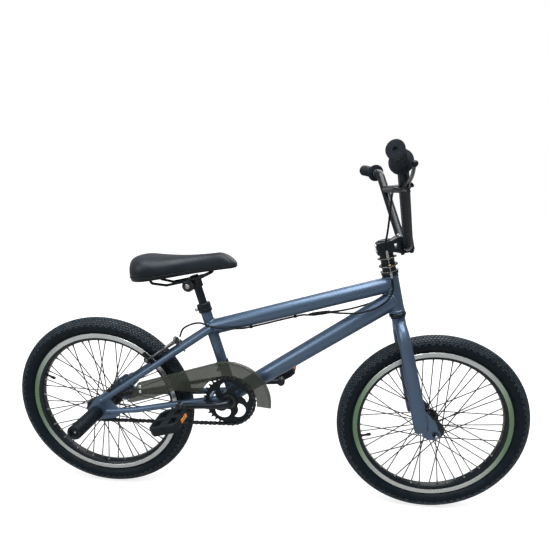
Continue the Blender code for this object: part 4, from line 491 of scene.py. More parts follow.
def repeat(name, shape, tree, inputs, material, body, nodes=()):
    # Runs a tree on the shape and keeps the result as one plain mesh.
    bmesh.ops.recalc_face_normals(shape, faces=shape.faces)
    seed = bpy.data.meshes.new(name)
    shape.to_mesh(seed)
    shape.free()
    seed.materials.append(material)
    piece = bpy.data.objects.new(name, seed)
    step = piece.modifiers.new("copies", "NODES")
    step.node_group = tree
    for label, value in {**inputs, "Finish": material}.items():
        step[socketOf(tree, label)] = value
    scene.collection.objects.link(piece)
    bpy.context.view_layer.update()
    mesh = bpy.data.meshes.new_from_object(piece.evaluated_get(bpy.context.evaluated_depsgraph_get()))
    piece.modifiers.clear()
    piece.data = mesh
    bpy.data.meshes.remove(seed)
    mesh.name = name
    mesh.shade_smooth()
    mesh.set_sharp_from_angle(angle=math.radians(32))
    return settle(piece, body, nodes)


# Where things are

layout = {"wheelbase": 0.915, "tyreRadius": 0.2555, "bracketHeight": 0.308, "headAngle": math.radians(75),
          "seatAngle": math.radians(73.3), "forkOffset": 0.033, "chainPitch": 0.0127, "ringTeeth": 34,
          "cogTeeth": 16, "links": 84, "chainLine": 0.043,
          "stayFoot": Vector((0.016, 0, 0.034))}
frontAxle = Vector((layout["wheelbase"] / 2, 0, layout["tyreRadius"]))
rearAxle = Vector((-layout["wheelbase"] / 2, 0, layout["tyreRadius"]))
steerUp = Vector((-math.cos(layout["headAngle"]), 0, math.sin(layout["headAngle"])))
steerAhead = Vector((steerUp.z, 0, -steerUp.x))
steerFoot = frontAxle - steerAhead * layout["forkOffset"]
seatUp = Vector((-math.cos(layout["seatAngle"]), 0, math.sin(layout["seatAngle"])))
ringPitch = layout["chainPitch"] / (2 * math.sin(math.pi / layout["ringTeeth"]))
cogPitch = layout["chainPitch"] / (2 * math.sin(math.pi / layout["cogTeeth"]))


def chainLength(distance):
    lean = math.asin((ringPitch - cogPitch) / distance)
    return (2 * distance * math.cos(lean) + (math.pi + 2 * lean) * ringPitch
            + (math.pi - 2 * lean) * cogPitch)


centres = 0.37
for _ in range(40):
    centres += (layout["links"] * layout["chainPitch"] - chainLength(centres)) / 2
bracketRise = layout["bracketHeight"] - layout["tyreRadius"]
bracket = rearAxle + Vector((math.sqrt(centres ** 2 - bracketRise ** 2), 0, bracketRise))


def steerPoint(height, ahead=0.0, aside=0.0):
    return steerFoot + steerUp * height + steerAhead * ahead + left * aside


def onSeatAxis(height):
    return bracket + seatUp * ((height - bracket.z) / seatUp.z)


def mirrored(point):
    return Vector((point.x, -point.y, point.z))


sides = (("right", -1), ("left", 1))


# Wheels

wheel = {"trackOuter": 0.2118, "trackInner": 0.1989, "innerWall": 0.1903, "half": 0.0135, "flange": 0.0018,
         "seatHeight": 0.006, "wellDepth": 0.0045, "spokes": 48, "spokeRadius": 0.0014, "crosses": 3,
         "holes": 0.025, "tyreSection": 0.0216, "flangeRadius": 0.028, "flangeThickness": 0.003,
         "hubEnd": 0.010, "axleRadius": 0.0048}
rimTrackFront = rimTrackLook("rimTrackFront", frontAxle)
rimTrackRear = rimTrackLook("rimTrackRear", rearAxle, ahead=False)


def addWheelRing(shape, profile, axle, look, sides):
    # profile is a closed loop of (radius, distance from the wheel's middle plane).
    addTurned(shape, profile, axle, left, look, sides, closed=True)


def rimPiece(name, axle, track, body):
    shape = bmesh.new()
    half, inside = wheel["half"], wheel["half"] - wheel["flange"]
    seat = wheel["trackOuter"] - wheel["seatHeight"]
    well = seat - wheel["wellDepth"]
    # The braking track is its own thin ring on each side of the box.
    for side in (-1, 1):
        profile = [(wheel["trackInner"] + 0.0004, side * (half - 0.0005)),
                   (wheel["trackInner"] + 0.0010, side * half), (wheel["trackOuter"] - 0.0008, side * half),
                   (wheel["trackOuter"], side * (half - 0.0007)), (wheel["trackOuter"], side * inside),
                   (seat, side * inside), (seat, side * (half - 0.0005))]
        addWheelRing(shape, profile, axle, 0, 288)
    box = bothEnds([(wheel["trackInner"] + 0.0004, -half + 0.0004), (seat - 0.0002, -half + 0.0006),
                    (seat - 0.0002, -inside), (well, -inside * 0.6)])
    box += bothEnds([(wheel["trackInner"] - 0.0008, half - 0.0002),
                     (wheel["innerWall"] + 0.0016, half * 0.70),
                     (wheel["innerWall"] + 0.0003, half * 0.52), (wheel["innerWall"], half * 0.40)])
    addWheelRing(shape, box, axle, 1, 288)
    finishPiece(name, shape, [track, blackPaint], body, [name], sharp=24)


def spokeEnds(index, axle, flange, valveAngle):
    side = 1 if index % 2 else -1
    turn = 1 if (index // 2) % 2 else -1
    rimAngle = valveAngle + math.tau / wheel["spokes"] * (index + 0.5)
    hubAngle = rimAngle + turn * math.tau * wheel["crosses"] / (wheel["spokes"] / 2)
    face = side * (flange + turn * (wheel["flangeThickness"] / 2 + wheel["spokeRadius"] * 0.6))
    radial = Vector((math.cos(rimAngle), 0, math.sin(rimAngle)))
    hub = axle + Vector((math.cos(hubAngle), 0, math.sin(hubAngle))) * wheel["holes"] + left * face
    rim = axle + radial * wheel["innerWall"] + left * side * wheel["half"] * 0.24
    return hub, rim, side, turn


def spokesPiece(name, axle, flange, valveAngle, body):
    # Four spokes are modelled with their bent heads, and twelve turned copies make the wheel.
    heads = bmesh.new()
    for index in range(4):
        hub, rim, side, turn = spokeEnds(index, axle, flange, valveAngle)
        along = (rim - hub).normalized()
        inward = left * (-side * turn)
        elbow = [hub + inward * 0.0036, hub + inward * 0.0012, hub + along * 0.0012, hub + along * 0.0040]
        addSweep(heads, elbow + [rim - along * 0.011], wheel["spokeRadius"], sides=8)
        addTurned(heads, [(0, 0), (0.0017, 0), (0.0017, 0.0005), (0.0011, 0.0011), (0, 0.0011)],
                  hub + inward * 0.0033, inward, sides=8)
    turns = {"Count": wheel["spokes"] // 4, "Centre": axle, "Axis": left}
    repeat(name, heads, copiesRound, turns, spokeBlack, body)
    nipples = bmesh.new()
    for index in range(4):
        hub, rim, side, turn = spokeEnds(index, axle, flange, valveAngle)
        addTurned(nipples, [(0, -0.0130), (0.0011, -0.0130), (0.0016, -0.0128), (0.0017, -0.0062),
                            (0.0021, -0.0058), (0.0021, -0.0010), (0.0030, -0.0005), (0.0030, 0.0008),
                            (0, 0.0008)], rim, (rim - hub).normalized(), sides=8)
    repeat(name.replace("Spokes", "Nipples"), nipples, copiesRound, turns, greyPlate, body)


def hubPiece(name, axle, flange, half, body):
    shape = bmesh.new()
    outer, inner = -flange - wheel["flangeThickness"] / 2, -flange + wheel["flangeThickness"] / 2
    near = [(wheel["axleRadius"] + 0.0004, -half), (wheel["hubEnd"] - 0.001, -half),
            (wheel["hubEnd"], -half + 0.001), (wheel["hubEnd"], outer - 0.004),
            (wheel["hubEnd"] + 0.004, outer - 0.0005), (wheel["flangeRadius"] - 0.0006, outer),
            (wheel["flangeRadius"], outer + 0.0006), (wheel["flangeRadius"], inner - 0.0006),
            (wheel["flangeRadius"] - 0.0006, inner), (0.0185, inner), (0.0165, inner + 0.002),
            (0.0135, -0.014)]
    profile = near + [(0.0128, 0)] + [(radius, -height) for radius, height in reversed(near)]
    addTurned(shape, profile, axle, left, sides=64, closed=True)
    finishPiece(name, shape, [blackPaint], body, [name])


def tyrePiece(where, axle, body):
    # The carcass: a round section with fine moulded lines low on the walls.
    shape = bmesh.new()
    section, seat = wheel["tyreSection"], wheel["trackOuter"] - wheel["seatHeight"]
    middle = layout["tyreRadius"] - section
    low = math.asin((wheel["half"] - wheel["flange"] - 0.0004) / section)
    outer, inner = [], []
    count = 56
    for i in range(count + 1):
        angle = -math.pi + low + (math.tau - 2 * low) * i / count
        offset = abs(math.degrees(angle))
        radius = section - 0.0018 + 0.0010 * min(1, max(0, (offset - 84) / 8))
        if 96 < offset < 128:
            radius += 0.00055 * max(0, math.sin(math.radians((offset - 96) / 8 * 180))) ** 2
        outer.append((middle + radius * math.cos(angle), radius * math.sin(angle)))
    for i in range(13):
        angle = math.pi - low - (math.tau - 2 * low) * i / 12
        inner.append((middle + (section - 0.0036) * math.cos(angle), (section - 0.0036) * math.sin(angle)))
    profile = outer + [(seat + 0.0001, outer[-1][1])] + inner + [(seat + 0.0001, outer[0][1])]
    addWheelRing(shape, profile, axle, 0, 192)
    finishPiece(f"{where}Carcass", shape, [sideRubber], body, [f"{where}_tyre"], sharp=50)
    # One pitch of the tread: a centre chevron pair, shoulder blocks and small side blocks.
    tread = bmesh.new()
    pitches = 84

    def block(across, along, wide, long, skew, height):
        # Corners follow the tyre's section, from its floor to the block's top.
        quads = []
        for rise in (-0.0006, height):
            ring = []
            for u, v in ((-1, -1), (1, -1), (1, 1), (-1, 1)):
                shrink = 1.0 if rise < 0 else 0.86
                theta = across + u * wide * shrink
                phi = along + v * long * shrink + u * skew
                radius = section - 0.0018 + rise
                reach = middle + radius * math.cos(theta)
                ring.append(tread.verts.new(axle + Vector((reach * math.cos(phi), radius * math.sin(theta),
                                                           reach * math.sin(phi)))))
            quads.append(ring)
        skin(tread, quads, caps=(True, True))

    step = math.tau / pitches
    # Each block: degrees across, share of a step along, half width in degrees, half length, skew, height.
    rows = [(6.5, 0.06, 5.4, 0.17, 0.10, 0.0018), (21.5, 0.30, 6.4, 0.16, -0.12, 0.0018),
            (37.5, 0.06, 6.2, 0.16, 0.12, 0.0018), (53.5, 0.30, 6.0, 0.15, -0.12, 0.0018)]
    blocks = rows + [(across, along + 0.5, *rest) for across, along, *rest in rows]
    blocks += [(69, 0.10, 5.6, 0.21, 0.14, 0.0017), (69, 0.62, 5.6, 0.17, 0.14, 0.0017),
               (82, 0.36, 4.0, 0.26, -0.10, 0.0012)]
    for side in (-1, 1):
        for across, along, wide, long, skew, height in blocks:
            block(side * math.radians(across), along * step, math.radians(wide), step * long,
                  side * step * skew, height)
    # The blocks take the lighter rubber, a painted highlight on the tread.
    repeat(f"{where}Tread", tread, copiesRound, {"Count": pitches, "Centre": axle, "Axis": left},
           treadRubberPaintedHighlight, body)


def valvePiece(name, axle, angle, body):
    shape = bmesh.new()
    inward = -Vector((math.cos(angle), 0, math.sin(angle)))
    start = axle - inward * (wheel["innerWall"] + 0.004)
    profile = [(0, 0), (0.0040, 0), (0.0040, 0.0055), (0.0030, 0.0065), (0.0030, 0.0180), (0.0038, 0.0184),
               (0.0040, 0.0190), (0.0040, 0.0275), (0.0036, 0.0290), (0.0020, 0.0300), (0, 0.0300)]
    addTurned(shape, profile, start, inward, sides=20)
    finishPiece(name, shape, [cableSheath], body)


def axlePiece(name, axle, half, nutStart, body):
    # The axle's rod, with a flanged nut near each end.
    shape = bmesh.new()
    radius = wheel["axleRadius"]
    addTurned(shape, bothEnds([(0, -half), (radius - 0.0006, -half), (radius, -half + 0.0008)]), axle, left,
              0, 24)
    nut = [(0.0001, 0), (0.0085, 0), (0.0085, 0.0012), (0.0074, 0.0018), (0.0074, 0.0066),
           (0.0066, 0.0078), (0.0048, 0.0080), (0.0001, 0.0080)]
    for out in (-left, left):
        addTurned(shape, nut, axle + out * nutStart, out, 1, 6)
    finishPiece(f"{name}Smooth", shape, [zincSteel, blackPaint], body, [name])


def wheelPieces(where, axle, flange, half, valveAngle, track):
    body = f"{where}_wheel"
    tyrePiece(where, axle, body)
    rimPiece(f"{where}_rim", axle, track, body)
    spokesPiece(f"{where}Spokes", axle, flange, valveAngle, body)
    hubPiece(f"{where}_hub", axle, flange, half, body)
    valvePiece(f"{where}Valve", axle, valveAngle, body)


wheelPieces("front", frontAxle, 0.033, 0.0497, math.radians(195.5), rimTrackFront)
wheelPieces("rear", rearAxle, 0.029, 0.0547, math.radians(157.5), rimTrackRear)
print("wheels built")


# Frame tubes, with a raised weld where one tube meets another

frameSizes = {"seatTube": 0.0143, "headTube": 0.019, "topTube": 0.0205, "downLow": 0.0205, "downHigh": 0.024,
              "shell": 0.025, "shellHalf": 0.034, "headStart": 0.3318, "headLength": 0.098,
              "stay": 0.0075, "stayTop": 0.0095, "seatStayHeight": 0.499, "seatTubeTop": 0.566,
              "dropout": 0.058, "weld": 0.0024}
headLow = steerPoint(frameSizes["headStart"])
headHigh = steerPoint(frameSizes["headStart"] + frameSizes["headLength"])
stayTop = onSeatAxis(frameSizes["seatStayHeight"])


def hitTube(point, along, host):
    # How far along a line its point meets the host tube, given as (origin, axis, radius).
    origin, axis, radius = host
    across = point - origin
    across -= axis * across.dot(axis)
    direction = along - axis * along.dot(axis)
    a, b, c = direction.dot(direction), across.dot(direction), across.dot(across) - radius ** 2
    inside = b * b - a * c
    if inside < 0 or a < 1e-12:
        return None
    return (-b + math.sqrt(inside)) / a


def addJoinedTube(shape, start, end, radius, endRadius, startHost, endHost, weld=0.0024):
    # A tube whose ends are cut to the tubes that they meet, with a weld bead round each cut.
    along = (end - start).normalized()
    side = along.cross(left)
    side = side.normalized() if side.length > 0.1 else along.orthogonal().normalized()
    other = along.cross(side)
    length = (end - start).length
    rings = []
    count = 10
    lows, highs = [], []
    for i in range(48):
        angle = math.tau * i / 48
        direction = side * math.cos(angle) + other * math.sin(angle)
        low, high = 0.0, length
        if startHost:
            hit = hitTube(start + direction * radius, along, startHost)
            low = hit if hit is not None else 0.0
        if endHost:
            hit = hitTube(end + direction * endRadius, -along, endHost)
            high = length - hit if hit is not None else length
        lows.append((low, direction))
        highs.append((high, direction))
    for step in range(count + 1):
        ring = []
        for (low, direction), (high, _) in zip(lows, highs):
            place = low + (high - low) * step / count
            share = place / length
            ring.append(shape.verts.new(start + along * place
                                        + direction * (radius + (endRadius - radius) * share)))
        rings.append(ring)
    skin(shape, rings, caps=(True, True))
    for host, ends, size in ((startHost, lows, radius), (endHost, highs, endRadius)):
        if not host or not weld:
            continue
        bead = [start + along * place + direction * (size + 0.0004) for place, direction in ends]
        fine = []
        for i in range(len(bead)):
            here, there = bead[i], bead[(i + 1) % len(bead)]
            fine += [here, here.lerp(there, 0.5)]
        spread = [weld * (1 + 0.14 * math.sin(i * math.tau / 4)) for i in range(len(fine))]
        addSweep(shape, fine, spread, sides=8, closed=True)


def hostOf(start, end, radius):
    return start, (end - start).normalized(), radius


seatHost = hostOf(bracket, onSeatAxis(0.6), frameSizes["seatTube"])
headHost = hostOf(headLow, headHigh, frameSizes["headTube"])
shellHost = (bracket, left, frameSizes["shell"])


def mainTubes():
    shape = bmesh.new()
    addTurned(shape, bothEnds([(0.0165, 0), (0.0182, 0), (0.0200, 0.0010), (0.0200, 0.0055),
                               (0.0190, 0.0068)], frameSizes["headLength"]), headLow, steerUp, 0, 64,
              closed=True)
    paintedPiece("headTubeSmooth", shape, ["head_tube"])
    shape = bmesh.new()
    addJoinedTube(shape, onSeatAxis(frameSizes["seatStayHeight"]), headHigh - steerUp * 0.023,
                  frameSizes["topTube"], frameSizes["topTube"], seatHost, headHost)
    paintedPiece("topTubeSmooth", shape, ["top_tube"])
    shape = bmesh.new()
    addJoinedTube(shape, bracket, headLow + steerUp * 0.0345, frameSizes["downLow"], frameSizes["downHigh"],
                  shellHost, headHost)
    paintedPiece("downTubeSmooth", shape, ["down_tube"])
    shape = bmesh.new()
    top = onSeatAxis(frameSizes["seatTubeTop"])
    addJoinedTube(shape, bracket, top - seatUp * 0.0004, frameSizes["seatTube"], frameSizes["seatTube"],
                  shellHost, None)
    paintedPiece("seatTubeSmooth", shape, ["seat_tube"])
    shape = bmesh.new()
    half = frameSizes["shellHalf"]
    addTurned(shape, bothEnds([(0.0215, -half), (0.0240, -half), (0.0250, -half + 0.0010)]), bracket, left,
              0, 64, closed=True)
    paintedPiece("shellSmooth", shape, ["bottom_bracket_shell"])


mainTubes()


def stayPieces():
    for name, side in sides:
        shape = bmesh.new()
        top = stayTop + left * side * (frameSizes["seatTube"] + frameSizes["stayTop"] - 0.0010)
        end = rearAxle + layout["stayFoot"] + left * side * frameSizes["dropout"]
        along = (end - top).normalized()
        points = [top - along * 0.010, top - along * 0.0085, top - along * 0.0050]
        points += [top.lerp(end, i / 12) for i in range(13)]
        radii = [0.0040, 0.0078, frameSizes["stayTop"]]
        radii += [frameSizes["stayTop"] + (frameSizes["stay"] - frameSizes["stayTop"]) * i / 12
                  for i in range(13)]
        addSweep(shape, points, radii, sides=32)
        addWeldRing(shape, end - along * 0.006, along, frameSizes["stay"] + 0.0004)
        paintedPiece(f"seatStay{name.title()}", shape, [f"seat_stay_{name}"])
        shape = bmesh.new()
        corners = [bracket + Vector((-0.020, side * 0.0235, -0.004)),
                   bracket + Vector((-0.074, side * 0.0285, -0.012)),
                   rearAxle + Vector((0.222, side * 0.0375, 0.030)),
                   rearAxle + Vector((0.110, side * 0.0535, 0.012)),
                   rearAxle + Vector((0.030, side * frameSizes["dropout"], 0.004))]
        path = roundedPath(corners, 0.12, math.radians(2))
        radii = [frameSizes["stayTop"] + (frameSizes["stay"] - frameSizes["stayTop"]) * i / (len(path) - 1)
                 for i in range(len(path))]
        addSweep(shape, path, radii, sides=32)
        addWeldRing(shape, path[-1] + (path[-2] - path[-1]).normalized() * 0.004,
                    path[-1] - path[-2], frameSizes["stay"] + 0.0004)
        if side > 0:
            lower = bracket + Vector((-0.062, 0, -0.0105))
            addRod(shape, lower - left * 0.029, lower + left * 0.029, 0.006)
        paintedPiece(f"chainStay{name.title()}", shape, [f"chain_stay_{name}"])


def addWeldRing(shape, centre, axis, radius):
    size = frameSizes["weld"] * 0.6
    place = facing(axis, centre)
    points = [place @ Vector((radius * math.cos(math.tau * i / 40), radius * math.sin(math.tau * i / 40), 0))
              for i in range(40)]
    spread = [size * (1 + 0.16 * math.sin(i * math.tau / 4)) for i in range(40)]
    addSweep(shape, points, spread, sides=8, closed=True)


stayPieces()
print("frame built")


# Dropouts and fork

def dropoutPieces():
    outline = arc((0, 0), 0.0245, math.radians(150), math.radians(300), 24)
    outline += [(0.050, -0.014), (0.064, -0.0065), (0.0665, 0), (0.066, 0.014), (0.052, 0.026),
                (0.044, 0.034), (0.040, 0.046), (0.036, 0.062), (0.028, 0.0625), (0.020, 0.056),
                (0.004, 0.045), (-0.006, 0.034)]
    for name, side in sides:
        shape = bmesh.new()
        place = sideFrame(rearAxle + left * side * frameSizes["dropout"])
        addPrism(shape, [outline, circle((0, 0), wheel["axleRadius"] + 0.0005, 32),
                         circle((0.040, 0.004), 0.0072, 32)], 0.006, place, 0.0010, steps=2)
        paintedPiece(f"dropout{name.title()}", shape, [f"dropout_{name}"])


dropoutPieces()
fork = {"crownTop": 0.3185, "crown": 0.0170, "steerer": 0.0143, "crownLow": 0.2875, "top": 0.5155}


def forkPieces():
    shape = bmesh.new()
    profile = [(0, fork["crownLow"] - 0.0050), (0.0120, fork["crownLow"] - 0.0046),
               (fork["crown"] - 0.0010, fork["crownLow"]), (fork["crown"], fork["crownLow"] + 0.0016),
               (fork["crown"], fork["crownTop"] - 0.0015),
               (fork["crown"] + 0.0022, fork["crownTop"] - 0.0008),
               (fork["crown"] + 0.0022, fork["crownTop"]), (fork["steerer"], fork["crownTop"]),
               (fork["steerer"], fork["top"]), (0, fork["top"])]
    addTurned(shape, profile, steerFoot, steerUp, 0, 56)
    paintedPiece("crownSmooth", shape, ["steerer_and_crown"], "steering")
    # Height up the steering line, distance from the middle plane, and share of the full depth.
    stations = [(0.3020, 0.0165, 0.0), (0.2985, 0.0270, 0.10), (0.2855, 0.0400, 0.25),
                (0.2625, 0.0505, 0.40), (0.2285, 0.0555, 0.55), (0.1785, 0.0570, 0.70),
                (0.0750, 0.0570, 1.0), (0.0350, 0.0570, 1.0), (0.0220, 0.0570, 0.86), (0.0150, 0.0570, 0.55)]
    for name, side in sides:
        shape = bmesh.new()
        line = smoothPath(stations, 0.004)
        points = [steerPoint(p.x, 0, side * p.y) for p in line]
        rings = []
        for index, (point, station) in enumerate(zip(points, line)):
            before, after = points[max(index - 1, 0)], points[min(index + 1, len(points) - 1)]
            along = (after - before).normalized()
            broad = (steerAhead - along * steerAhead.dot(along)).normalized()
            across = along.cross(broad)
            reach, width = 0.0140 + 0.0045 * station.z, 0.0130
            if station.x < 0.036:
                width *= max(0.35, (station.x - 0.010) / 0.026)
            ring = []
            for i in range(40):
                angle = math.tau * i / 40
                ring.append(shape.verts.new(point + broad * reach * math.cos(angle)
                                            + across * width * math.sin(angle)))
            rings.append(ring)
        skin(shape, rings, caps=(True, True))
        tip = arc((0, 0), 0.014, math.radians(-110), math.radians(50), 24)
        tip += [(0.0080, 0.030), (-0.004, 0.050), (-0.016, 0.072), (-0.033, 0.082), (-0.033, 0.000),
                (-0.022, -0.0100), (-0.010, -0.0135)]
        place = axesFrame(frontAxle + left * side * 0.053, steerAhead, steerUp, steerAhead.cross(steerUp))
        addPrism(shape, [tip, circle((0, 0), wheel["axleRadius"] + 0.0004, 32)], 0.006, place, 0.0011,
                 steps=2)
        paintedPiece(f"forkLeg{name.title()}", shape, [f"fork_leg_{name}"], "steering")


forkPieces()


# Drivetrain

drive = {"plane": 0.070, "angle": math.radians(5), "length": 0.127, "spindle": 0.011, "ringThickness": 0.003,
         "eyeHalf": 0.008, "toothCurve": ((-0.27, -0.0030), (-0.16, -0.0039), (0.0, -0.0041), (0.16, -0.0039),
                                          (0.27, -0.0030), (0.36, 0.0008), (0.44, 0.0030), (0.50, 0.0034),
                                          (0.56, 0.0030), (0.64, 0.0008))}
chainMiddle = -layout["chainLine"]


def toothOutline(teeth, pitch, towards):
    # Rounded roller seats between tapered teeth: shares of a step, and heights from the pitch circle.
    points = []
    for index in range(teeth):
        for share, rise in drive["toothCurve"]:
            angle = towards + math.tau * index / teeth + math.tau / teeth * share
            points.append(((pitch + rise) * math.cos(angle), (pitch + rise) * math.sin(angle)))
    return points


def swirlOutline(index):
    def outer(share):
        if share <= 0.62:
            return 27 + 28.3 * math.sqrt(1 - (1 - share / 0.62) ** 2)
        return 55.3 - 8 * ((share - 0.62) / 0.38) ** 2

    def inner(share):
        if share <= 0.42:
            return 27 - 2 * math.sin(math.pi * share / 0.42)
        return 25.5 + 21.8 * ((share - 0.42) / 0.58) ** 0.62

    count = 40
    loop = [(outer(step / count), step / count) for step in range(count + 1)]
    loop += [(inner(step / count), step / count) for step in range(count - 1, 0, -1)]
    points = []
    for radius, share in loop:
        angle = -math.radians(11 + 63 * share + 72 * index)
        points.append((radius * math.cos(angle) / 1000, radius * math.sin(angle) / 1000))
    return points


def sprocketPieces():
    shape = bmesh.new()
    place = sideFrame(bracket + left * chainMiddle)
    back = (rearAxle - bracket).normalized()
    outline = toothOutline(layout["ringTeeth"], ringPitch, math.atan2(-back.z, -back.x))
    holes = [circle((0, 0), drive["spindle"] + 0.0004, 40)] + [swirlOutline(i) for i in range(5)]
    addPrism(shape, [outline] + holes, drive["ringThickness"], place, 0.0007, steps=2)
    finishPiece("chainringSmooth", shape, [satinBlack], "cranks", ["chainring"])
    shape = bmesh.new()
    place = sideFrame(rearAxle + left * chainMiddle)
    outline = toothOutline(layout["cogTeeth"], cogPitch, math.atan2(back.z, back.x))
    addPrism(shape, [outline, circle((0, 0), 0.0170, 40)], drive["ringThickness"], place, 0.0006,
             steps=2)
    profile = [(0.0104, -0.004), (0.0190, -0.004), (0.0196, -0.0032), (0.0196, 0.0040), (0.0186, 0.0052),
               (0.0104, 0.0052)]
    addTurned(shape, profile, rearAxle + left * chainMiddle, left, 0, 48, closed=True)
    finishPiece("cogSmooth", shape, [darkSteel], "cog", ["rear_cog"])


sprocketPieces()


def chainGuide():
    # The pitch line of the chain as a closed curve for the path tree.
    lean = math.asin((ringPitch - cogPitch) / centres)
    back = (rearAxle - bracket).normalized()
    side = Vector((back.z, 0, -back.x))
    # The cog's arc is run the other way, so its radius is negative.
    points = []
    for hub, out, radius, half in ((bracket, -back, ringPitch, math.pi / 2 + lean),
                                   (rearAxle, back, -cogPitch, math.pi / 2 - lean)):
        for turn in [half * (2 * i / 160 - 1) for i in range(161)]:
            points.append(hub + out * abs(radius) * math.cos(turn) + side * radius * math.sin(turn))
    data = bpy.data.curves.new("chainGuide", "CURVE")
    data.dimensions = "3D"
    spline = data.splines.new("POLY")
    spline.points.add(len(points) - 1)
    for point, where in zip(spline.points, points):
        point.co = (*(where + left * chainMiddle), 1)
    spline.use_cyclic_u = True
    guide = bpy.data.objects.new("chainGuide", data)
    scene.collection.objects.link(guide)
    return guide


def chainPieces():
    # Inner and outer plate pairs on alternate links, each with its pins or rollers.
    pitch = layout["chainPitch"]
    guide = chainGuide()

    def plateOutline():
        waist, round_ = 0.0030, 0.0042
        points = arc((pitch / 2, 0), round_, -math.radians(100), math.radians(100), 12)
        points += [(0.0012, waist), (-0.0012, waist)]
        points += arc((-pitch / 2, 0), round_, math.radians(80), math.radians(280), 12)
        points += [(-0.0012, -waist), (0.0012, -waist)]
        return points

    flat = sideFrame(Vector((0, 0, 0)))
    for name, first, offset, mates in (("chainOuterLinks", 0, 0.0038, True),
                                       ("chainInnerLinks", 1, 0.0026, False)):
        shape = bmesh.new()
        for side in (-1, 1):
            addPrism(shape, [plateOutline()], 0.0010, Matrix.Translation(left * side * offset) @ flat,
                     0.0002)
        for end in (-1, 1):
            if mates:
                addTurned(shape, bothEnds([(0, -0.0049), (0.0016, -0.0049), (0.0019, -0.0046)]),
                          Vector((end * pitch / 2, 0, 0)), left, 0, 12)
            else:
                addTurned(shape, bothEnds([(0.0020, -0.0020), (0.0037, -0.0020), (0.0039, -0.0018)]),
                          Vector((end * pitch / 2, 0, 0)), left, 0, 14, closed=True)
        repeat(name, shape, copiesAlong,
               {"Guide": guide, "Count": layout["links"], "Every": 2, "First": first},
               darkSteel if mates else satinBlack, "frame", ["chain"])
    bpy.data.objects.remove(guide)


chainPieces()


def crankDirection(side):
    return Vector((math.cos(drive["angle"]), 0, math.sin(drive["angle"]))) * side


def crankPiece():
    # One forged piece: both arms with their eyes, and the spindle that passes through the shell.
    shape = bmesh.new()
    for side in (-1, 1):
        direction = crankDirection(side)
        root = bracket + left * side * 0.0500
        eye = bracket + direction * drive["length"] + left * side * drive["plane"]
        knots = [bracket + left * side * 0.030, root, root + left * side * 0.012 + direction * 0.004,
                 bracket + direction * 0.018 + left * side * (drive["plane"] - 0.003),
                 bracket + direction * 0.034 + left * side * drive["plane"],
                 bracket + direction * 0.080 + left * side * drive["plane"], eye - direction * 0.006]
        path = smoothPath(knots, 0.003)
        size = []
        for index in range(len(path)):
            share = index / (len(path) - 1)
            size.append(0.0105 - 0.0030 * min(1, max(0, (share - 0.2) / 0.3)))
        addSweep(shape, path, size, 0, 28, flat=(left, 0.92))
        addTurned(shape, bothEnds([(0.0062, -0.0080), (0.0098, -0.0080), (0.0110, -0.0068)]), eye, left, 0,
                  40, closed=True)
    addRod(shape, bracket - left * 0.049, bracket + left * 0.049, drive["spindle"] - 0.0002, 0, 40)
    addTurned(shape, [(0.0110, 0), (0.0190, 0), (0.0200, 0.0010), (0.0200, 0.0038), (0.0180, 0.0050),
                      (0.0110, 0.0050)], bracket - left * (layout["chainLine"] + 0.0017), -left, 1, 40,
              closed=True)
    addTurned(shape, [(0.0112, 0), (0.0170, 0), (0.0176, 0.0008), (0.0176, 0.0028), (0.0112, 0.0030)],
              bracket + left * 0.0385, left, 1, 36, closed=True)
    finishPiece("crankSmooth", shape, [blackPaint, darkSteel], "cranks", ["crank"])


crankPiece()


def cupPieces():
    for name, side in sides:
        shape = bmesh.new()
        profile = [(0.0113, 0), (0.0205, 0), (0.0220, 0.0006), (0.0225, 0.0012), (0.0225, 0.0034),
                   (0.0215, 0.0040), (0.0113, 0.0040)]
        addTurned(shape, profile, bracket + left * side * (frameSizes["shellHalf"] + 0.0003), left * side, 0,
                  48, closed=True)
        finishPiece(f"bracketCup{name.title()}", shape, [satinBlack], "frame",
                    [f"bracket_cup_{name}"])
    for name, height in (("lower", 0.3220), ("upper", 0.4301)):
        shape = bmesh.new()
        profile = [(0.0148, 0), (0.0188, 0), (0.0200, 0.0008), (0.0213, 0.0028), (0.0215, 0.0040),
                   (0.0215, 0.0086), (0.0206, 0.0095), (0.0148, 0.0095)]
        if name == "lower":
            profile = [(radius, 0.0095 - rise) for radius, rise in profile]
        addTurned(shape, profile, steerPoint(height), steerUp, 0, 56, closed=True)
        finishPiece(f"{name}CupSmooth", shape, [blackPaint], "frame", [f"{name}_cup"])


cupPieces()


pedal = {"length": 0.074, "width": 0.094, "depth": 0.022, "gap": 0.019, "tilt": {"right": 16, "left": 32}}


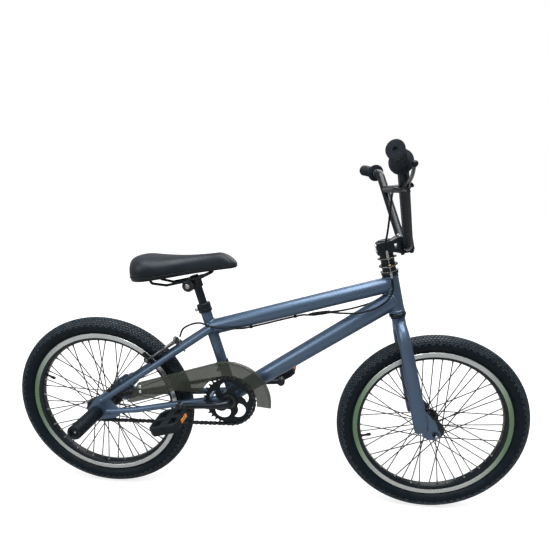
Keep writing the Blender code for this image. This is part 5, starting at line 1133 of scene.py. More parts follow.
def pedalPieces():
    for name, side in sides:
        body = f"pedal_{name}"
        length, width, deep = pedal["length"], pedal["width"], pedal["depth"]
        out = left * side
        eye = bracket + crankDirection(side) * drive["length"] + out * drive["plane"]
        middle = eye + out * (drive["eyeHalf"] + pedal["gap"] + width / 2)
        angle = math.radians(pedal["tilt"][name])
        ahead = Vector((math.cos(angle), 0, math.sin(angle)))
        shape = bmesh.new()
        # The tread frame seen from above, with two pairs of windows beside the core.
        cut = 0.16 * length
        flat = axesFrame(middle, ahead, left, ahead.cross(left))
        outline = bothEnds([(-length / 2, -width / 2 + cut), (-length / 2 + cut, -width / 2),
                            (length / 2 - cut, -width / 2), (length / 2, -width / 2 + cut)])
        holes = []
        for way in (-1, 1):
            near, far = way * 0.0098, way * (length / 2 - 0.0085)
            for low, high in ((-width / 2 + 0.009, -0.004), (0.004, width / 2 - 0.009)):
                holes.append([(near, low), (far, low + 0.004), (far, high - 0.004), (near, high)])
        addPrism(shape, [outline] + holes, deep, flat, 0.0016, steps=3)
        # Raised ribs on both tread faces.
        for face in (-1, 1):
            for way in (-1, 1):
                for index in range(13):
                    across = -width / 2 + 0.0182 + index * 0.0048
                    place = flat @ Matrix.Translation((way * (length / 2 - 0.0048), across,
                                                       face * (deep / 2 + 0.0002)))
                    addBlock(shape, (0.0070, 0.0026, 0.0016), place, 0.0004)
            for index in range(9):
                place = flat @ Matrix.Translation((0, -0.030 + index * 0.0075, face * (deep / 2 + 0.0001)))
                addBlock(shape, (0.0150, 0.0026, 0.0012), place, 0.0004)
        finishPiece(f"pedalBody{name.title()}", shape, [pedalPlastic], body,
                    [f"pedal_body_{name}"])
        shape = bmesh.new()
        for way in (-1, 1):
            place = flat @ Matrix.Translation((way * (length / 2 + 0.0004), 0, 0))
            addBlock(shape, (0.0026, 0.036, 0.0095), place, 0.0008)
        finishPiece(f"pedalReflectors{name.title()}", shape, [amberReflector], body)
        shape = bmesh.new()
        profile = [(0, -0.0078), (0.0058, -0.0078), (0.0058, 0.0078), (0.0062, 0.0082), (0.0090, 0.0082),
                   (0.0095, 0.0088), (0.0095, 0.0150), (0.0072, 0.0158), (0.0060, 0.0240),
                   (0.0060, 0.0300), (0, 0.0300)]
        addTurned(shape, profile, eye, out, 0, 24)
        finishPiece(f"pedalSpindle{name.title()}", shape, [darkSteel], "cranks",
                    [f"pedal_spindle_{name}"])


pedalPieces()


def pegPieces():
    for name, side in sides:
        shape = bmesh.new()
        base = rearAxle + left * side * (frameSizes["dropout"] + 0.003 + 0.0003)
        length, radius = 0.105, 0.019
        profile = [(0.0052, 0), (radius - 0.0012, 0), (radius, 0.0012), (radius, length - 0.0034),
                   (radius - 0.0008, length - 0.0012), (radius - 0.0034, length), (0.0122, length),
                   (0.0115, length - 0.0007), (0.0115, length - 0.0042), (0.0108, length - 0.0050),
                   (0.0034, length - 0.0050), (0.0030, length - 0.0054), (0.0030, length - 0.0080),
                   (0.0155, length - 0.0080), (0.0155, 0.006), (0.0052, 0.006)]
        addTurned(shape, profile, base, left * side, 0, 64, closed=True)
        addTurned(shape, [(0, length - 0.0062), (0.0028, length - 0.0062), (0.0026, length - 0.0052),
                          (0, length - 0.0050)], base, left * side, 1, 20)
        finishPiece(f"rearPeg{name.title()}", shape, [satinBlack, zincSteel], "frame",
                    [f"rear_peg_{name}"])


pegPieces()


def guardPiece():
    shape = bmesh.new()
    front, back = math.radians(-5), math.pi / 2 + math.radians(20)
    outer = arc((0, 0), 0.114, front, back, 60)
    inner = arc((0, 0), 0.0765, math.radians(162), front, 70)
    tail = [(-0.2500, 0.0375), (-0.2610, 0.0160), (-0.2830, -0.0180), (-0.2660, -0.0190),
            (-0.2080, -0.0010), (-0.1480, 0.0245)]
    place = sideFrame(bracket - left * 0.0525)
    addPrism(shape, [outer + tail + inner], 0.0020, place, 0.0007, steps=2)
    # The lip along the top, and a thin raised line just inside it.
    edge = arc((0, 0), 0.1131, front, back, 60) + [(-0.2497, 0.0368)]
    rings = []
    for radiusShift, depth in ((0.0, 0.0), (0.0009, 0.0), (0.0009, 0.0100), (0.0, 0.0105), (-0.0009, 0.0100),
                               (-0.0009, 0.0)):
        ring = []
        for x, y in edge:
            out = Vector((x, y, 0)).normalized()
            if (x, y) == edge[-1]:
                out = Vector((-0.31, 0.95, 0))
            ring.append(shape.verts.new(place @ (Vector((x, y, 0)) + out * radiusShift
                                                 - Vector((0, 0, 1)) * depth)))
        rings.append(ring)
    skin(shape, rings, 0, closedAround=False, closedAlong=True)
    for end in (0, -1):
        shape.faces.new([ring[end] for ring in rings])
    addSweep(shape, [place @ Vector((*(Vector(point) * 0.965), 0.0011)) for point in
                     arc((0, 0), 0.114, front + 0.05, back, 60)], 0.0007, sides=8)
    for height in (0.015, 0.030):
        addTurned(shape, [(0, 0), (0.0045, 0), (0.0044, 0.0010), (0.0036, 0.0018), (0.0018, 0.0022),
                          (0, 0.0022)], bracket + Vector((-0.2425, -0.0535, height)), -left, 1, 20)
    at = bracket + seatUp * 0.095
    addTurned(shape, bothEnds([(0.0146, -0.006), (0.0166, -0.006)]), at, seatUp, 2, 40, closed=True)
    addRod(shape, at - left * 0.0150, at - left * 0.0515, 0.0035, 2, 16)
    finishPiece("guardSmooth", shape, [smokedPlastic, brightMetal, satinBlack], "frame",
                ["chain_guard"])


guardPiece()
print("drivetrain built")


# Headset, detangler and stem

headset = {"ear": 0.027, "earRadius": 0.0048, "body": 0.0235, "thick": 0.0022, "lowerPlate": 0.4399,
           "lowerDisc": 0.4546, "upperPlate": 0.4748, "stem": 0.5013}


def earOutline(body):
    swing = math.acos(headset["earRadius"] / body)
    out = arc((0, 0), body, -swing, swing, 30)
    out += arc((0, headset["ear"]), headset["earRadius"], 0, math.pi, 16)
    out += arc((0, 0), body, math.pi - swing, math.pi + swing, 30)
    return out + arc((0, -headset["ear"]), headset["earRadius"], math.pi, math.tau, 16)


def headsetPieces():
    thick = headset["thick"]
    plates = [("detangler_lower_plate", headset["lowerPlate"] + thick / 2, 0.0228, 0.0148, greyPlate,
               (-1, 1), "frame"),
              ("detangler_upper_plate", headset["upperPlate"], 0.0240, 0.0148, greyPlate, (-1,),
               "steering"),
              ("detangler_lower_disc", headset["lowerDisc"], headset["body"], 0.0173, zincSteel, (),
               "lower_disc"),
              ("detangler_upper_disc", headset["lowerDisc"] + thick + 0.0003, headset["body"], 0.0173,
               blackPaint, (-1,), "upper_disc")]
    for node, height, body, bore, look, ears, rides in plates:
        shape = bmesh.new()
        holes = [circle((0, 0), bore, 48)]
        holes += [circle((0, side * headset["ear"]), 0.0017, 16) for side in ears]
        addPrism(shape, [earOutline(body)] + holes, thick, facing(steerUp, steerPoint(height)), 0.0005,
                 steps=2)
        looks = [look, brassMetal]
        if node == "detangler_upper_disc":
            addTurned(shape, [(0.0018, -0.0004), (0.0036, -0.0004), (0.0040, 0), (0.0040, 0.0020),
                              (0.0034, 0.0026), (0.0018, 0.0026)],
                      steerPoint(height + thick / 2, 0, -headset["ear"] * 0.985), steerUp, 1, 18,
                      closed=True)
        if node == "detangler_upper_plate":
            low, high = headset["upperPlate"] + thick / 2 - 0.0002, headset["stem"] - 0.0153
            addTurned(shape, bothEnds([(0.0148, low), (0.0164, low), (0.0170, low + 0.0005)], low + high),
                      steerFoot, steerUp, 2, 48, closed=True)
            looks.append(blackPaint)
        finishPiece(node.replace("_", "") + "Smooth", shape, looks, rides,
                    [node])
    shape = bmesh.new()
    low, high = headset["lowerPlate"] + thick + 0.0003, headset["upperPlate"] - thick / 2 - 0.0003
    addTurned(shape, bothEnds([(0.0146, low), (0.0164, low), (0.0170, low + 0.0005)], low + high),
              steerFoot, steerUp, 0, 48, closed=True)
    finishPiece("spacerSmooth", shape, [blackPaint], "steering", ["headset_spacer"])


headsetPieces()


def stemPieces():
    # Stem: a body round the steerer, with a slot behind the bar's bore, and a cap under the bar.
    centre = steerPoint(headset["stem"])
    place = axesFrame(centre, steerAhead, steerUp, steerAhead.cross(steerUp))
    barSpot = (0.048, -0.006)
    bore = 0.0114

    def rounded(points, radius):
        path = roundedPath([Vector((*point, 0)) for point in points + [points[0]]], radius, math.radians(15))
        return [(p.x, p.y) for p in path[1:]]

    shape = bmesh.new()
    outline = rounded([(-0.0215, -0.0150), (0.0185, -0.0150), (0.0280, -0.0190), (0.0300, -0.0190),
                       (0.0660, -0.0190), (0.0660, 0.0130), (0.0580, 0.0190), (0.0300, 0.0190),
                       (0.0185, 0.0150), (-0.0175, 0.0150), (-0.0215, 0.0110)], 0.0022)
    window = bothEnds([(0.0210, -0.0055), (0.0305, -0.0055)])
    addPrism(shape, [outline, circle(barSpot, bore, 48), window], 0.044, place, 0.0016, steps=3)
    for side in (-1, 1):
        for rise in (-0.007, 0.007):
            at = place @ Vector((-0.0195, rise, side * 0.008))
            turned = [(0, -0.0002), (0.0042, -0.0002), (0.0044, 0.0004), (0.0044, 0.0034), (0.0040, 0.0040),
                      (0.0023, 0.0040), (0.0021, 0.0016), (0, 0.0016)]
            addTurned(shape, turned, at, -steerAhead, 1, 20)
    finishPiece("stemBodySmooth", shape, [blackPaint, brightMetal], "steering", ["stem_body"])
    shape = bmesh.new()
    jaw = rounded([(0.0335, -0.0230), (0.0645, -0.0230), (0.0645, -0.0196), (0.0335, -0.0196)], 0.0012)
    addPrism(shape, [jaw], 0.0425, place, 0.0010, look=1, steps=2)
    for ahead in (-0.011, 0.011):
        for side in (-1, 1):
            for rise, out, foot, height, look in ((-0.0228, -steerUp, -0.001, 0.0034, 1),
                                                  (0.0188, steerUp, -0.002, 0.0038, 0)):
                addTurned(shape, [(0, foot), (0.0041, foot), (0.0044, 0), (0.0044, height - 0.0006),
                                  (0.0040, height), (0.0023, height), (0.0021, 0.0014), (0, 0.0014)],
                          place @ Vector((barSpot[0] + ahead, rise, side * 0.0145)), out, look, 20)
    finishPiece("stemCapSmooth", shape, [brightMetal, blackPaint], "steering", ["stem_cap"])
    shape = bmesh.new()
    cap = [(0, 0.0040), (0.0040, 0.0040), (0.0046, 0.0030), (0.0150, 0.0030), (0.0165, 0.0018),
           (0.0165, 0.0), (0, 0.0)]
    addTurned(shape, [(r, headset["stem"] + 0.0153 + h) for r, h in cap], steerFoot, steerUp, 0, 48)
    finishPiece("steererCap", shape, [blackPaint], "steering")


stemPieces()


# Handlebar, grips and lever

bar = {"radius": 0.0111, "middle": 0.047, "halfWidth": 0.336, "bendHalf": 0.200, "bend": 0.042,
       "crossbar": 0.009, "share": 0.76, "gripLength": 0.106, "gripRadius": 0.0152}
barMiddle = steerPoint(headset["stem"] - 0.006, 0.048)
barEnd = Vector((0.257096, bar["halfWidth"], 0.925005))
barBend = Vector((0.291096, bar["bendHalf"], 0.910105))
gripAxis = (barEnd - barBend).normalized()


def handlebarPiece():
    shape = bmesh.new()
    knee = barMiddle + left * bar["middle"]
    half = [knee, barBend, barEnd]
    path = roundedPath([mirrored(p) for p in reversed(half)] + half, bar["bend"], math.radians(3))
    addSweep(shape, path, bar["radius"], sides=40)
    joint = knee.lerp(barBend, bar["share"])
    host = hostOf(knee, barBend, bar["radius"])
    otherHost = hostOf(mirrored(knee), mirrored(barBend), bar["radius"])
    addJoinedTube(shape, mirrored(joint), joint, bar["crossbar"], bar["crossbar"], otherHost, host, weld=0)
    # A painted highlight beside the left grip: a thin band of bright metal, raised round the bar.
    highlightBand = barEnd - gripAxis * (bar["gripLength"] + 0.012)
    addTurned(shape, bothEnds([(bar["radius"] - 0.0005, -0.0040), (bar["radius"] + 0.00012, -0.0036)]), highlightBand,
              gripAxis, 1, 40, closed=True)
    finishPiece("handlebarSmooth", shape, [blackPaint, zincSteel], "steering", ["handlebar"])


handlebarPiece()


def gripPieces():
    length, radius = bar["gripLength"], bar["gripRadius"]
    for name, side in sides:
        shape = bmesh.new()
        end = barEnd if side > 0 else mirrored(barEnd)
        axis = gripAxis if side > 0 else mirrored(gripAxis)
        start = end - axis * length
        profile = [(0.0114, 0.0), (0.0221, 0.0), (0.0228, 0.0008), (0.0228, 0.0030), (0.0219, 0.0040),
                   (0.0175, 0.0048), (radius - 0.0012, 0.0062)]
        at = 0.0075
        while at < length - 0.012:
            profile += [(radius - 0.0012, at), (radius, at + 0.0007), (radius, at + 0.0021),
                        (radius - 0.0012, at + 0.0028)]
            at += 0.0040
        profile += [(radius - 0.0010, length - 0.009), (radius, length - 0.008), (radius, length - 0.0015),
                    (0.0157, length - 0.0005), (0.0157, length + 0.0026), (0.0147, length + 0.0036),
                    (0.0042, length + 0.0038), (0.0036, length + 0.0030), (0.0034, length + 0.0008),
                    (0, length + 0.0006)]
        addTurned(shape, profile, start, axis, 0, 56)
        finishPiece(f"grip{name.title()}", shape, [gripRubber], "steering", [f"grip_{name}"])


gripPieces()
leverSpot = mirrored(barBend) + mirrored(gripAxis) * 0.025
leverPivot = leverSpot + Vector((0.0150, 0.0060, -0.0390)).normalized() * 0.045
leverTip = leverSpot + Vector((0.0090, -0.0830, -0.0060))
leverSwing = (leverTip - leverPivot).cross(leverSpot + mirrored(gripAxis) * 0.08 - leverPivot).normalized()


def leverPieces():
    grip = mirrored(gripAxis)
    shape = bmesh.new()
    reach = (leverPivot - leverSpot).normalized()
    addTurned(shape, bothEnds([(0.0114, -0.0055), (0.0152, -0.0055), (0.0160, -0.0045)]), leverSpot, grip, 0,
              40, closed=True)
    addSweep(shape, smoothPath([leverSpot + reach * 0.0150, leverSpot + reach * 0.024,
                                leverPivot - reach * 0.0105], 0.002), 0.0052, 0, 24)
    for side in (-1, 1):
        at = leverPivot + leverSwing * side * 0.0062
        addTurned(shape, bothEnds([(0, -0.0012), (0.0088, -0.0012), (0.0094, -0.0006)]), at, leverSwing, 0,
                  36)
        addTurned(shape, [(0, 0.0), (0.0036, 0.0), (0.0034, 0.0012), (0.0020, 0.0018), (0, 0.0018)],
                  leverPivot + leverSwing * side * 0.0072, leverSwing * side, 1, 20)
    out = (left + Vector((0, 0, -0.2))).normalized()
    barrel = leverPivot + Vector((-0.004, 0.012, -0.004))
    addTurned(shape, [(0.0012, -0.004), (0.0030, -0.004), (0.0034, -0.0034), (0.0034, 0.0030),
                      (0.0030, 0.0036), (0.0030, 0.0090), (0.0012, 0.0090)], barrel, out, 1, 16, closed=True)
    finishPiece("leverBracketSmooth", shape, [satinBlack, darkChrome], "steering",
                ["lever_bracket"])
    shape = bmesh.new()
    knots = [leverPivot, leverPivot.lerp(leverTip, 0.22) - reach * 0.001,
             leverPivot.lerp(leverTip, 0.6) + reach * 0.003, leverTip]
    path = smoothPath(knots, 0.003)
    addSweep(shape, path, [0.0040 - 0.0008 * i / (len(path) - 1) for i in range(len(path))], 0, 24,
             flat=(leverSwing, 0.80))
    ball = [(0.0057 * math.sin(math.pi * i / 20), -0.0057 * math.cos(math.pi * i / 20)) for i in range(21)]
    addTurned(shape, ball, leverTip, up, 1, 32)
    addTurned(shape, bothEnds([(0.0023, -0.0045), (0.0058, -0.0045), (0.0062, -0.0041)]), leverPivot,
              leverSwing, 0, 28, closed=True)
    finishPiece("leverBlade", shape, [darkChrome, satinBlack], "brake_lever", ["brake_lever"])


leverPieces()


# Cables held along the frame and bars

cable = {"radius": 0.0025, "wire": 0.0008}


def stripedBarrel(shape, start, end, look):
    # A short turned adjuster with knurled rings.
    length = (end - start).length
    profile = [(0, 0), (0.0022, 0), (0.0022, length * 0.15)]
    steps = 5
    for index in range(steps):
        at = length * (0.18 + 0.12 * index)
        profile += [(0.0034, at), (0.0034, at + length * 0.08), (0.0028, at + length * 0.10)]
    profile += [(0.0034, length * 0.86), (0.0034, length * 0.98), (0.0026, length), (0, length)]
    addTurned(shape, profile, start, end - start, look, 18)


def upperCable():
    shape = bmesh.new()
    top = headset["upperPlate"] + headset["thick"] / 2 + 0.0003
    ear = headset["ear"]
    knots = [leverPivot + Vector((-0.004, 0.022, -0.006))]
    knots += [steerPoint(*spot) for spot in
              ((0.6363, 0.0249, -0.1600), (0.6322, 0.0248, -0.1350), (0.6200, 0.0237, -0.1050),
               (0.5820, 0.0187, -0.0620), (0.5403, 0.0085, -0.0400), (0.5125, 0, -0.0300),
               (top + 0.020, 0, -ear))]
    addSweep(shape, smoothPath(knots, 0.004), cable["radius"], 0, 20)
    stripedBarrel(shape, steerPoint(top + 0.022, 0, -ear), steerPoint(top, 0, -ear), 1)
    addRod(shape, steerPoint(top + 0.002, 0, -ear), steerPoint(headset["lowerDisc"] + 0.0038, 0, -ear),
           cable["wire"], 1, 10)
    finishPiece("upperCableSmooth", shape, [cableSheath, brightMetal], "steering",
                ["upper_brake_cable"])


# Places by the rear brake: down the seat stays, above their plane, and to the left.
stayDown = (rearAxle + layout["stayFoot"] - stayTop).normalized()
stayOver = Vector((stayDown.z, 0, -stayDown.x))


def brakeSpot(along, above, aside):
    return stayTop + stayDown * along + stayOver * above + left * aside


def lowerCables():
    rear, front = stayTop, headHigh - steerUp * 0.023
    along = (front - rear).normalized()
    under = Vector((along.z, 0, -along.x))
    drop = frameSizes["topTube"] + cable["radius"] + 0.0006

    def below(share, aside, extra=0.0):
        return rear.lerp(front, share) + under * (drop + extra) + left * aside

    start, end = below(0.545, -0.006, 0.0035), below(0.655, -0.006, 0.009)
    run = (end - start).normalized()
    shape = bmesh.new()
    knots = [start - run * 0.0003, start - run * 0.006, below(0.50, -0.0050), below(0.38, -0.003),
             below(0.30, -0.004)]
    knots += [stayTop + Vector(spot) for spot in
              ((0.0988, -0.0125, 0.0083), (0.0801, -0.0180, 0.0070), (0.0601, -0.0220, 0.0070),
               (0.0361, -0.0250, 0.0080), (0.0141, -0.0290, 0.0105), (-0.0039, -0.0255, 0.0135),
               (-0.0219, -0.0215, 0.0175), (-0.0439, -0.0215, 0.0140), (-0.0689, -0.0230, 0))]
    knots.append(brakeSpot(0.084, 0.016, -0.024) + (stayOver - stayDown * 0.6) * 0.0110)
    addSweep(shape, smoothPath(knots, 0.004), cable["radius"], 0, 20)
    finishPiece("rearCableSmooth", shape, [cableSheath], "frame", ["rear_brake_cable"])
    shape = bmesh.new()
    length = (end - start).length
    profile = [(0, 0), (0.0034, 0), (0.0038, 0.0010), (0.0038, 0.0070), (0.0050, 0.0082),
               (0.0050, length - 0.0090), (0.0044, length - 0.0076), (0.0044, length), (0, length)]
    addTurned(shape, profile, start, run, 0, 24)
    for side in (-1, 1):
        ear = side * headset["ear"]
        low = headset["lowerPlate"]
        knots = [end - run * 0.004 + left * side * 0.0010]
        knots += [steerPoint(*spot) for spot in
                  ((0.3617, -0.1367, -0.003 + side * 0.0130), (0.3572, -0.0965, side * 0.0280),
                   (0.3613, -0.0539, side * 0.0320), (0.3753, -0.0212, side * 0.0320),
                   (0.3973, -0.0029, side * 0.0300), (low - 0.012, 0, ear), (low - 0.0006, 0, ear))]
        addSweep(shape, smoothPath(knots, 0.004)[:-3], cable["radius"], 0, 20)
        stripedBarrel(shape, steerPoint(low - 0.016, 0, ear * 1.02), steerPoint(low - 0.0006, 0, ear), 1)
        addRod(shape, steerPoint(low - 0.003, 0, ear), steerPoint(headset["lowerDisc"] - 0.0013, 0, ear),
               cable["wire"], 1, 10)
    finishPiece("lowerCablesSmooth", shape, [cableSheath, brightMetal], "frame",
                ["lower_cables"])
    shape = bmesh.new()
    for share in (0.22, 0.47):
        at = below(share, -0.004)
        addTurned(shape, bothEnds([(0.0026, -0.0035), (0.0036, -0.0035), (0.0039, -0.0030)]), at, along, 0,
                  24, closed=True)
    finishPiece("cableTies", shape, [cableSheath], "frame")


upperCable()
lowerCables()
print("cockpit built")


# Rear brake

brake = {"mount": 0.104, "reach": 0.088, "offset": 0.020, "gap": 0.0018, "padThick": 0.009, "arm": 0.0037}


def brakePieces():
    mount, offset, thick = brake["mount"], brake["offset"], brake["padThick"]
    face, padAt = wheel["half"] + brake["gap"], mount + brake["reach"]
    shape = bmesh.new()
    addRod(shape, brakeSpot(mount, -0.017, 0), brakeSpot(mount, 0.0337, 0), 0.003, 0, 20)
    addTurned(shape, [(0, 0), (0.0066, 0), (0.0066, 0.0035), (0.0055, 0.0045), (0.0040, 0.0050), (0, 0.0052)],
              brakeSpot(mount, 0.0280, 0), stayOver, 0, 6)
    addTurned(shape, bothEnds([(0, 0), (0.0060, 0)], 0.006), brakeSpot(mount, -0.0123, 0), stayOver, 0, 6)
    addTurned(shape, bothEnds([(0.0032, 0), (0.0085, 0)], 0.0012), brakeSpot(mount, 0.0268, 0), stayOver, 1,
              28, closed=True)
    finishPiece("brakeBoltSmooth", shape, [brightMetal, blackPaint], "frame",
                ["brake_centre_bolt"])
    shape = bmesh.new()
    addRod(shape, brakeSpot(mount, 0, -0.0345), brakeSpot(mount, 0, 0.0345), 0.006, 0, 28)
    paintedPiece("brakeBridge", shape)
    for name, side in sides:
        above = offset - side * 0.004
        shape = bmesh.new()
        knots = [(mount, 0), (mount + 0.010, side * 0.018), (mount + 0.028, side * 0.032),
                 (mount + 0.060, side * 0.037), (padAt + 0.002, side * (face + thick))]
        path = smoothPath([brakeSpot(d, above, y) for d, y in knots], 0.003)
        addSweep(shape, path, brake["arm"], 0, 20)
        addTurned(shape, bothEnds([(0.0032, -0.0036), (0.0074, -0.0036), (0.0080, -0.0030)]),
                  brakeSpot(mount, above, 0), stayOver, 0, 32, closed=True)
        hornY, hornD = (-0.024, mount - 0.020) if side > 0 else (-0.030, mount - 0.004)
        addRod(shape, brakeSpot(mount, above, 0).lerp(brakeSpot(hornD, above, hornY), 0.15),
               brakeSpot(hornD, above, hornY), 0.0034, 0, 18)
        addTurned(shape, bothEnds([(0, -0.0046), (0.0040, -0.0046), (0.0044, -0.0040)]),
                  brakeSpot(hornD, above, hornY), stayOver, 0, 20)
        radial = (brakeSpot(padAt, offset, 0) - rearAxle).normalized()
        tangent = left.cross(radial).normalized()
        place = axesFrame(brakeSpot(padAt, offset, side * (face + thick / 2)), tangent, left,
                          tangent.cross(left))
        for size, share, y, edge, slot, steps in (((0.050, 0.0095), 0.55, -0.225, 0.0016, 1, 3),
                                                  ((0.046, 0.0090), 0.45, 0.27, 0.0010, 2, 2)):
            addBlock(shape, (size[0], thick * share, size[1]),
                     place @ Matrix.Translation((0, side * thick * y, 0)), edge, slot, steps)
        boltAt = brakeSpot(padAt + 0.004, offset + 0.003, side * (face + thick - 0.0005))
        addTurned(shape, [(0, 0), (0.0086, 0), (0.0090, 0.0006), (0.0090, 0.0030), (0.0080, 0.0038),
                          (0, 0.0038)], boltAt, left * side, 2, 28)
        addTurned(shape, [(0, 0.0036), (0.0056, 0.0036), (0.0056, 0.0060), (0.0044, 0.0076), (0, 0.0080)],
                  boltAt, left * side, 0, 6)
        finishPiece(f"brakeArm{name.title()}", shape, [darkChrome, padRubber, satinBlack],
                    f"brake_arm_{name}", [f"brake_arm_{name}"])


brakePieces()


# Seat post, clamp, rails and saddle

seat = {"post": 0.0111, "postTop": 0.640, "length": 0.195, "bolt": 0.620, "back": 0.0135, "rail": 0.0035,
        "spread": 0.022, "rear": -0.352, "nose": -0.073, "half": 0.072, "noseHalf": 0.023,
        "base": 0.633, "slope": 0.175}
behind = Vector((-seatUp.z, 0, seatUp.x))
seatBolt = onSeatAxis(seat["bolt"]) + behind * seat["back"]


def saddleBase(x):
    return seat["base"] + seat["slope"] * (x - seat["rear"] - 0.090)


def seatPieces():
    shape = bmesh.new()
    top = onSeatAxis(seat["postTop"])
    radius, length = seat["post"], seat["length"]
    addTurned(shape, [(0, 0), (radius - 0.0006, 0), (radius, 0.0006), (radius, length - 0.0008),
                      (radius - 0.0007, length), (0, length)], top - seatUp * length, seatUp, 0, 48)
    finishPiece("postSmooth", shape, [blackPaint], "seat", ["seat_post"])
    shape = bmesh.new()
    collarTop = onSeatAxis(frameSizes["seatTubeTop"])
    profile = bothEnds([(0.0146, 0), (0.0176, 0), (0.0182, 0.0007), (0.0182, 0.0090), (0.0176, 0.0096)],
                       0.0230)
    addTurned(shape, profile, collarTop - seatUp * 0.024, seatUp, 0, 56, closed=True)
    boltAt = collarTop - seatUp * 0.012 + behind * 0.0192
    addRod(shape, boltAt - left * 0.0125, boltAt + left * 0.0125, 0.0032, 1, 20)
    for side in (-1, 1):
        addTurned(shape, [(0, 0), (0.0048, 0), (0.0048, 0.0036), (0.0042, 0.0042), (0.0022, 0.0042),
                          (0.0020, 0.0022), (0, 0.0022)], boltAt + left * side * 0.0085, left * side, 1, 20)
    finishPiece("collarSmooth", shape, [blackPaint, brightMetal], "frame", ["seat_clamp"])
    shape = bmesh.new()
    level = onSeatAxis(seat["bolt"])
    addTurned(shape, [(0.0115, -0.012), (0.0146, -0.012), (0.0153, -0.0112), (0.0153, 0.0152),
                      (0.0146, 0.016), (0.0115, 0.016)], level, seatUp, 0, 48, closed=True)
    addRod(shape, seatBolt - left * 0.0120, seatBolt + left * 0.0120, 0.0152, 0, 40)
    addRod(shape, seatBolt - left * 0.0370, seatBolt + left * 0.0370, 0.0033, 1, 20)
    for side in (-1, 1):
        for start, width in ((0.0112, 0.0068), (0.0262, 0.0050)):
            # Serrated clamp discs either side of each rail.
            place = facing(left * side, seatBolt + left * side * (start + width / 2))
            outline = []
            for index in range(96):
                radius = 0.0152 - (0.0006 if index % 4 > 1 else 0)
                outline.append((radius * math.cos(math.tau * index / 96),
                                radius * math.sin(math.tau * index / 96)))
            addPrism(shape, [outline], width, place, 0.0008, 0, 2)
        addTurned(shape, [(0, 0), (0.0068, 0), (0.0068, 0.0040), (0.0056, 0.0052), (0, 0.0052)],
                  seatBolt + left * side * 0.0314, left * side, 1, 6)
    finishPiece("seatClampSmooth", shape, [darkSteel, zincSteel], "seat", ["saddle_clamp"])
    shape = bmesh.new()
    height = seatBolt.z + 0.011
    rearX, frontX = seatBolt.x - 0.098, seatBolt.x + 0.054
    half = [Vector(spot) for spot in
            ((rearX, 0.030, saddleBase(rearX) - 0.0012), (rearX + 0.003, 0.029, height - 0.008),
             (seatBolt.x - 0.058, 0.0235, height - 0.0125),
             (seatBolt.x - 0.022, seat["spread"], height - 0.0035),
             (seatBolt.x + 0.030, seat["spread"], height + 0.0105),
             (frontX, 0.0140, saddleBase(frontX) - 0.0043))]
    path = roundedPath(half + [mirrored(point) for point in reversed(half)], 0.008, math.radians(8))
    addSweep(shape, path, seat["rail"], 0, 20)
    finishPiece("railsSmooth", shape, [satinBlack], "seat", ["saddle_rails"])


seatPieces()


def saddleSection(t):
    length = seat["nose"] - seat["rear"]
    x = seat["rear"] + length * t
    tail = math.sqrt(max(0.0, 1 - (max(0.0, 0.20 - t) / 0.20) ** 2))
    tip = math.sqrt(max(0.0, 1 - (max(0.0, t - 0.93) / 0.07) ** 2))
    taper = 1 / (1 + math.exp((t - 0.46) * 11))
    width = (seat["noseHalf"] + (seat["half"] - seat["noseHalf"]) * taper) * tail * tip
    crown = 0.0435 + 0.0360 * (1 - t) ** 2.6
    crown *= 1 - 0.78 * max(0.0, (t - 0.82) / 0.18) ** 2
    crown *= 0.45 + 0.55 * tail
    return x, width, saddleBase(x) + 0.008 * (1 - tail), crown


def saddlePiece():
    # The cover is bonded over foam: one crowned form, a rolled lower edge and a plastic pan.
    shape = bmesh.new()
    count, around = 72, 64
    rings = []
    for index in range(count + 1):
        t = 0.5 - 0.5 * math.cos(math.pi * (0.04 + 0.92 * index / count))
        x, width, base, crown = saddleSection(t)
        ring = []
        for i in range(around):
            angle = math.tau * i / around
            side, rise = math.cos(angle), math.sin(angle)
            bulge = math.copysign(abs(side) ** 0.75, side)
            if rise >= 0:
                z = base + crown * (0.35 + 0.65 * rise ** 0.8)
                y = width * bulge
            else:
                depth = min(1.0, abs(rise) * 1.7)
                z = base + crown * 0.35 * (1 - depth)
                y = width * bulge * (1 - 0.10 * depth)
                if depth > 0.97:
                    z += 0.0015
            ring.append(shape.verts.new((x, y, z)))
        rings.append(ring)
    skin(shape, rings, 0, caps=(True, True))
    for face in shape.faces:
        if face.calc_center_median().z < saddleBase(face.calc_center_median().x) + 0.0030:
            face.material_index = 1
    cover = finishPiece("saddleCover", shape, [saddleVinyl, satinBlack], "seat", ["saddle"],
                        sharp=70)
    soften = cover.modifiers.new("soften", "SUBSURF")
    soften.levels = soften.render_levels = 1
    # A line of piping along each side.
    shape = bmesh.new()
    for side in (-1, 1):
        points = []
        for index in range(61):
            t = 0.02 + 0.955 * index / 60
            x, width, base, crown = saddleSection(t)
            points.append(Vector((x, side * (width * 0.985 + 0.0002), base + crown * 0.22)))
        addSweep(shape, points, 0.0008, 0, 8)
    finishPiece("saddlePiping", shape, [satinBlack], "seat")


saddlePiece()
axlePiece("front_axle", frontAxle, 0.0693, 0.0563, "steering")
axlePiece("rear_axle", rearAxle, 0.0806, 0.0676, "frame")
print("brake and seat built")


# Floor, light and camera

studioLight = {"sky": 0.30, "gloss": 0.34, "top": 150, "side": 30, "back": 34, "paper": 0.36,
               "extra": 0.74}


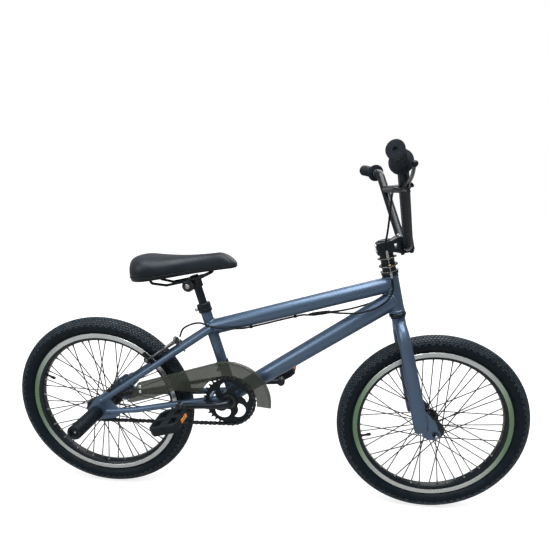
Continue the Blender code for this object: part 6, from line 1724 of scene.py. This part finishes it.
def studio():
    floor = bmesh.new()
    floor.faces.new([floor.verts.new((x, y, -0.0004)) for x, y in ((-9, -4), (9, -4), (9, 14), (-9, 14))])
    mesh = bpy.data.meshes.new("studioFloor")
    floor.to_mesh(mesh)
    floor.free()
    # Pale paper. It shows the camera a little extra white, and throws back less light than it seems to.
    tone = studioLight["paper"]
    paper = newMaterial("paleFloor", grey(tone), 0.9, specular=0.0)
    varyColour(paper, noise(paper, 3, 2.0), grey(tone - 0.01), grey(tone))
    tree = paper.node_tree
    reach = wired(tree, "ShaderNodeVectorMath", {0: objectCoordinates(paper)}, operation="LENGTH")["Value"]
    share = wired(tree, "ShaderNodeMapRange", {"Value": reach, "From Min": 0.9, "From Max": 2.2,
                                               "To Min": studioLight["extra"], "To Max": 1.0})["Result"]
    shaderOf(paper).inputs["Emission Color"].default_value = (1, 1, 1, 1)
    seen = wired(tree, "ShaderNodeLightPath")["Is Camera Ray"]
    join(paper, maths(tree, "MULTIPLY", seen, share), "Emission Strength")
    mesh.materials.append(paper)
    piece = bpy.data.objects.new("studioFloor", mesh)
    scene.collection.objects.link(piece)
    # The sky is white to the camera and in reflections, and dimmer as a lamp, so forms keep their shade.
    scene.world = bpy.data.worlds.new("studio")
    scene.world.use_nodes = True
    tree = scene.world.node_tree
    path = wired(tree, "ShaderNodeLightPath")
    seen = maths(tree, "MAXIMUM", path["Is Camera Ray"], path["Is Transmission Ray"])
    glossy = maths(tree, "MULTIPLY", path["Is Glossy Ray"], studioLight["gloss"])
    strength = maths(tree, "MAXIMUM", maths(tree, "MAXIMUM", seen, glossy), studioLight["sky"])
    background = tree.nodes["Background"]
    background.inputs["Color"].default_value = (1, 1, 1, 1)
    tree.links.new(strength, background.inputs["Strength"])
    for name, spot, size, power in (
            ("topPanel", (0.2, -0.5, 3.0), 2.6, studioLight["top"]),
            ("sidePanel", (-2.2, -1.9, 1.9), 1.6, studioLight["side"]),
            ("backPanel", (0.6, 2.2, 2.4), 2.0, studioLight["back"])):
        data = bpy.data.lights.new(name, "AREA")
        data.shape, data.size, data.energy = "SQUARE", size, power
        light = bpy.data.objects.new(name, data)
        light.location = spot
        light.rotation_euler = (Vector((0, 0, 0.4)) - Vector(spot)).to_track_quat("-Z", "Y").to_euler()
        scene.collection.objects.link(light)


studio()


def photoCamera():
    view = {"spot": (0.1627, -1.0445, 0.8589), "yaw": -0.0816, "pitch": -0.2643, "roll": 0.0266,
            "lens": 27.38, "shift": (-0.0359, 0.0525)}
    data = bpy.data.cameras.new("photoCamera")
    data.sensor_width, data.lens = 36, view["lens"]
    data.shift_x, data.shift_y = view["shift"]
    camera = bpy.data.objects.new("photoCamera", data)
    yaw, pitch, roll = view["yaw"], view["pitch"], view["roll"]
    ahead = Vector((math.sin(yaw) * math.cos(pitch), math.cos(yaw) * math.cos(pitch), math.sin(pitch)))
    right = ahead.cross(up).normalized()
    above = right.cross(ahead)
    turnedRight = right * math.cos(roll) + above * math.sin(roll)
    turnedUp = above * math.cos(roll) - right * math.sin(roll)
    camera.matrix_world = axesFrame(Vector(view["spot"]), turnedRight, turnedUp, -ahead)
    scene.collection.objects.link(camera)
    scene.camera = camera


photoCamera()
scene.view_settings.view_transform = "Standard"
bpy.context.view_layer.update()
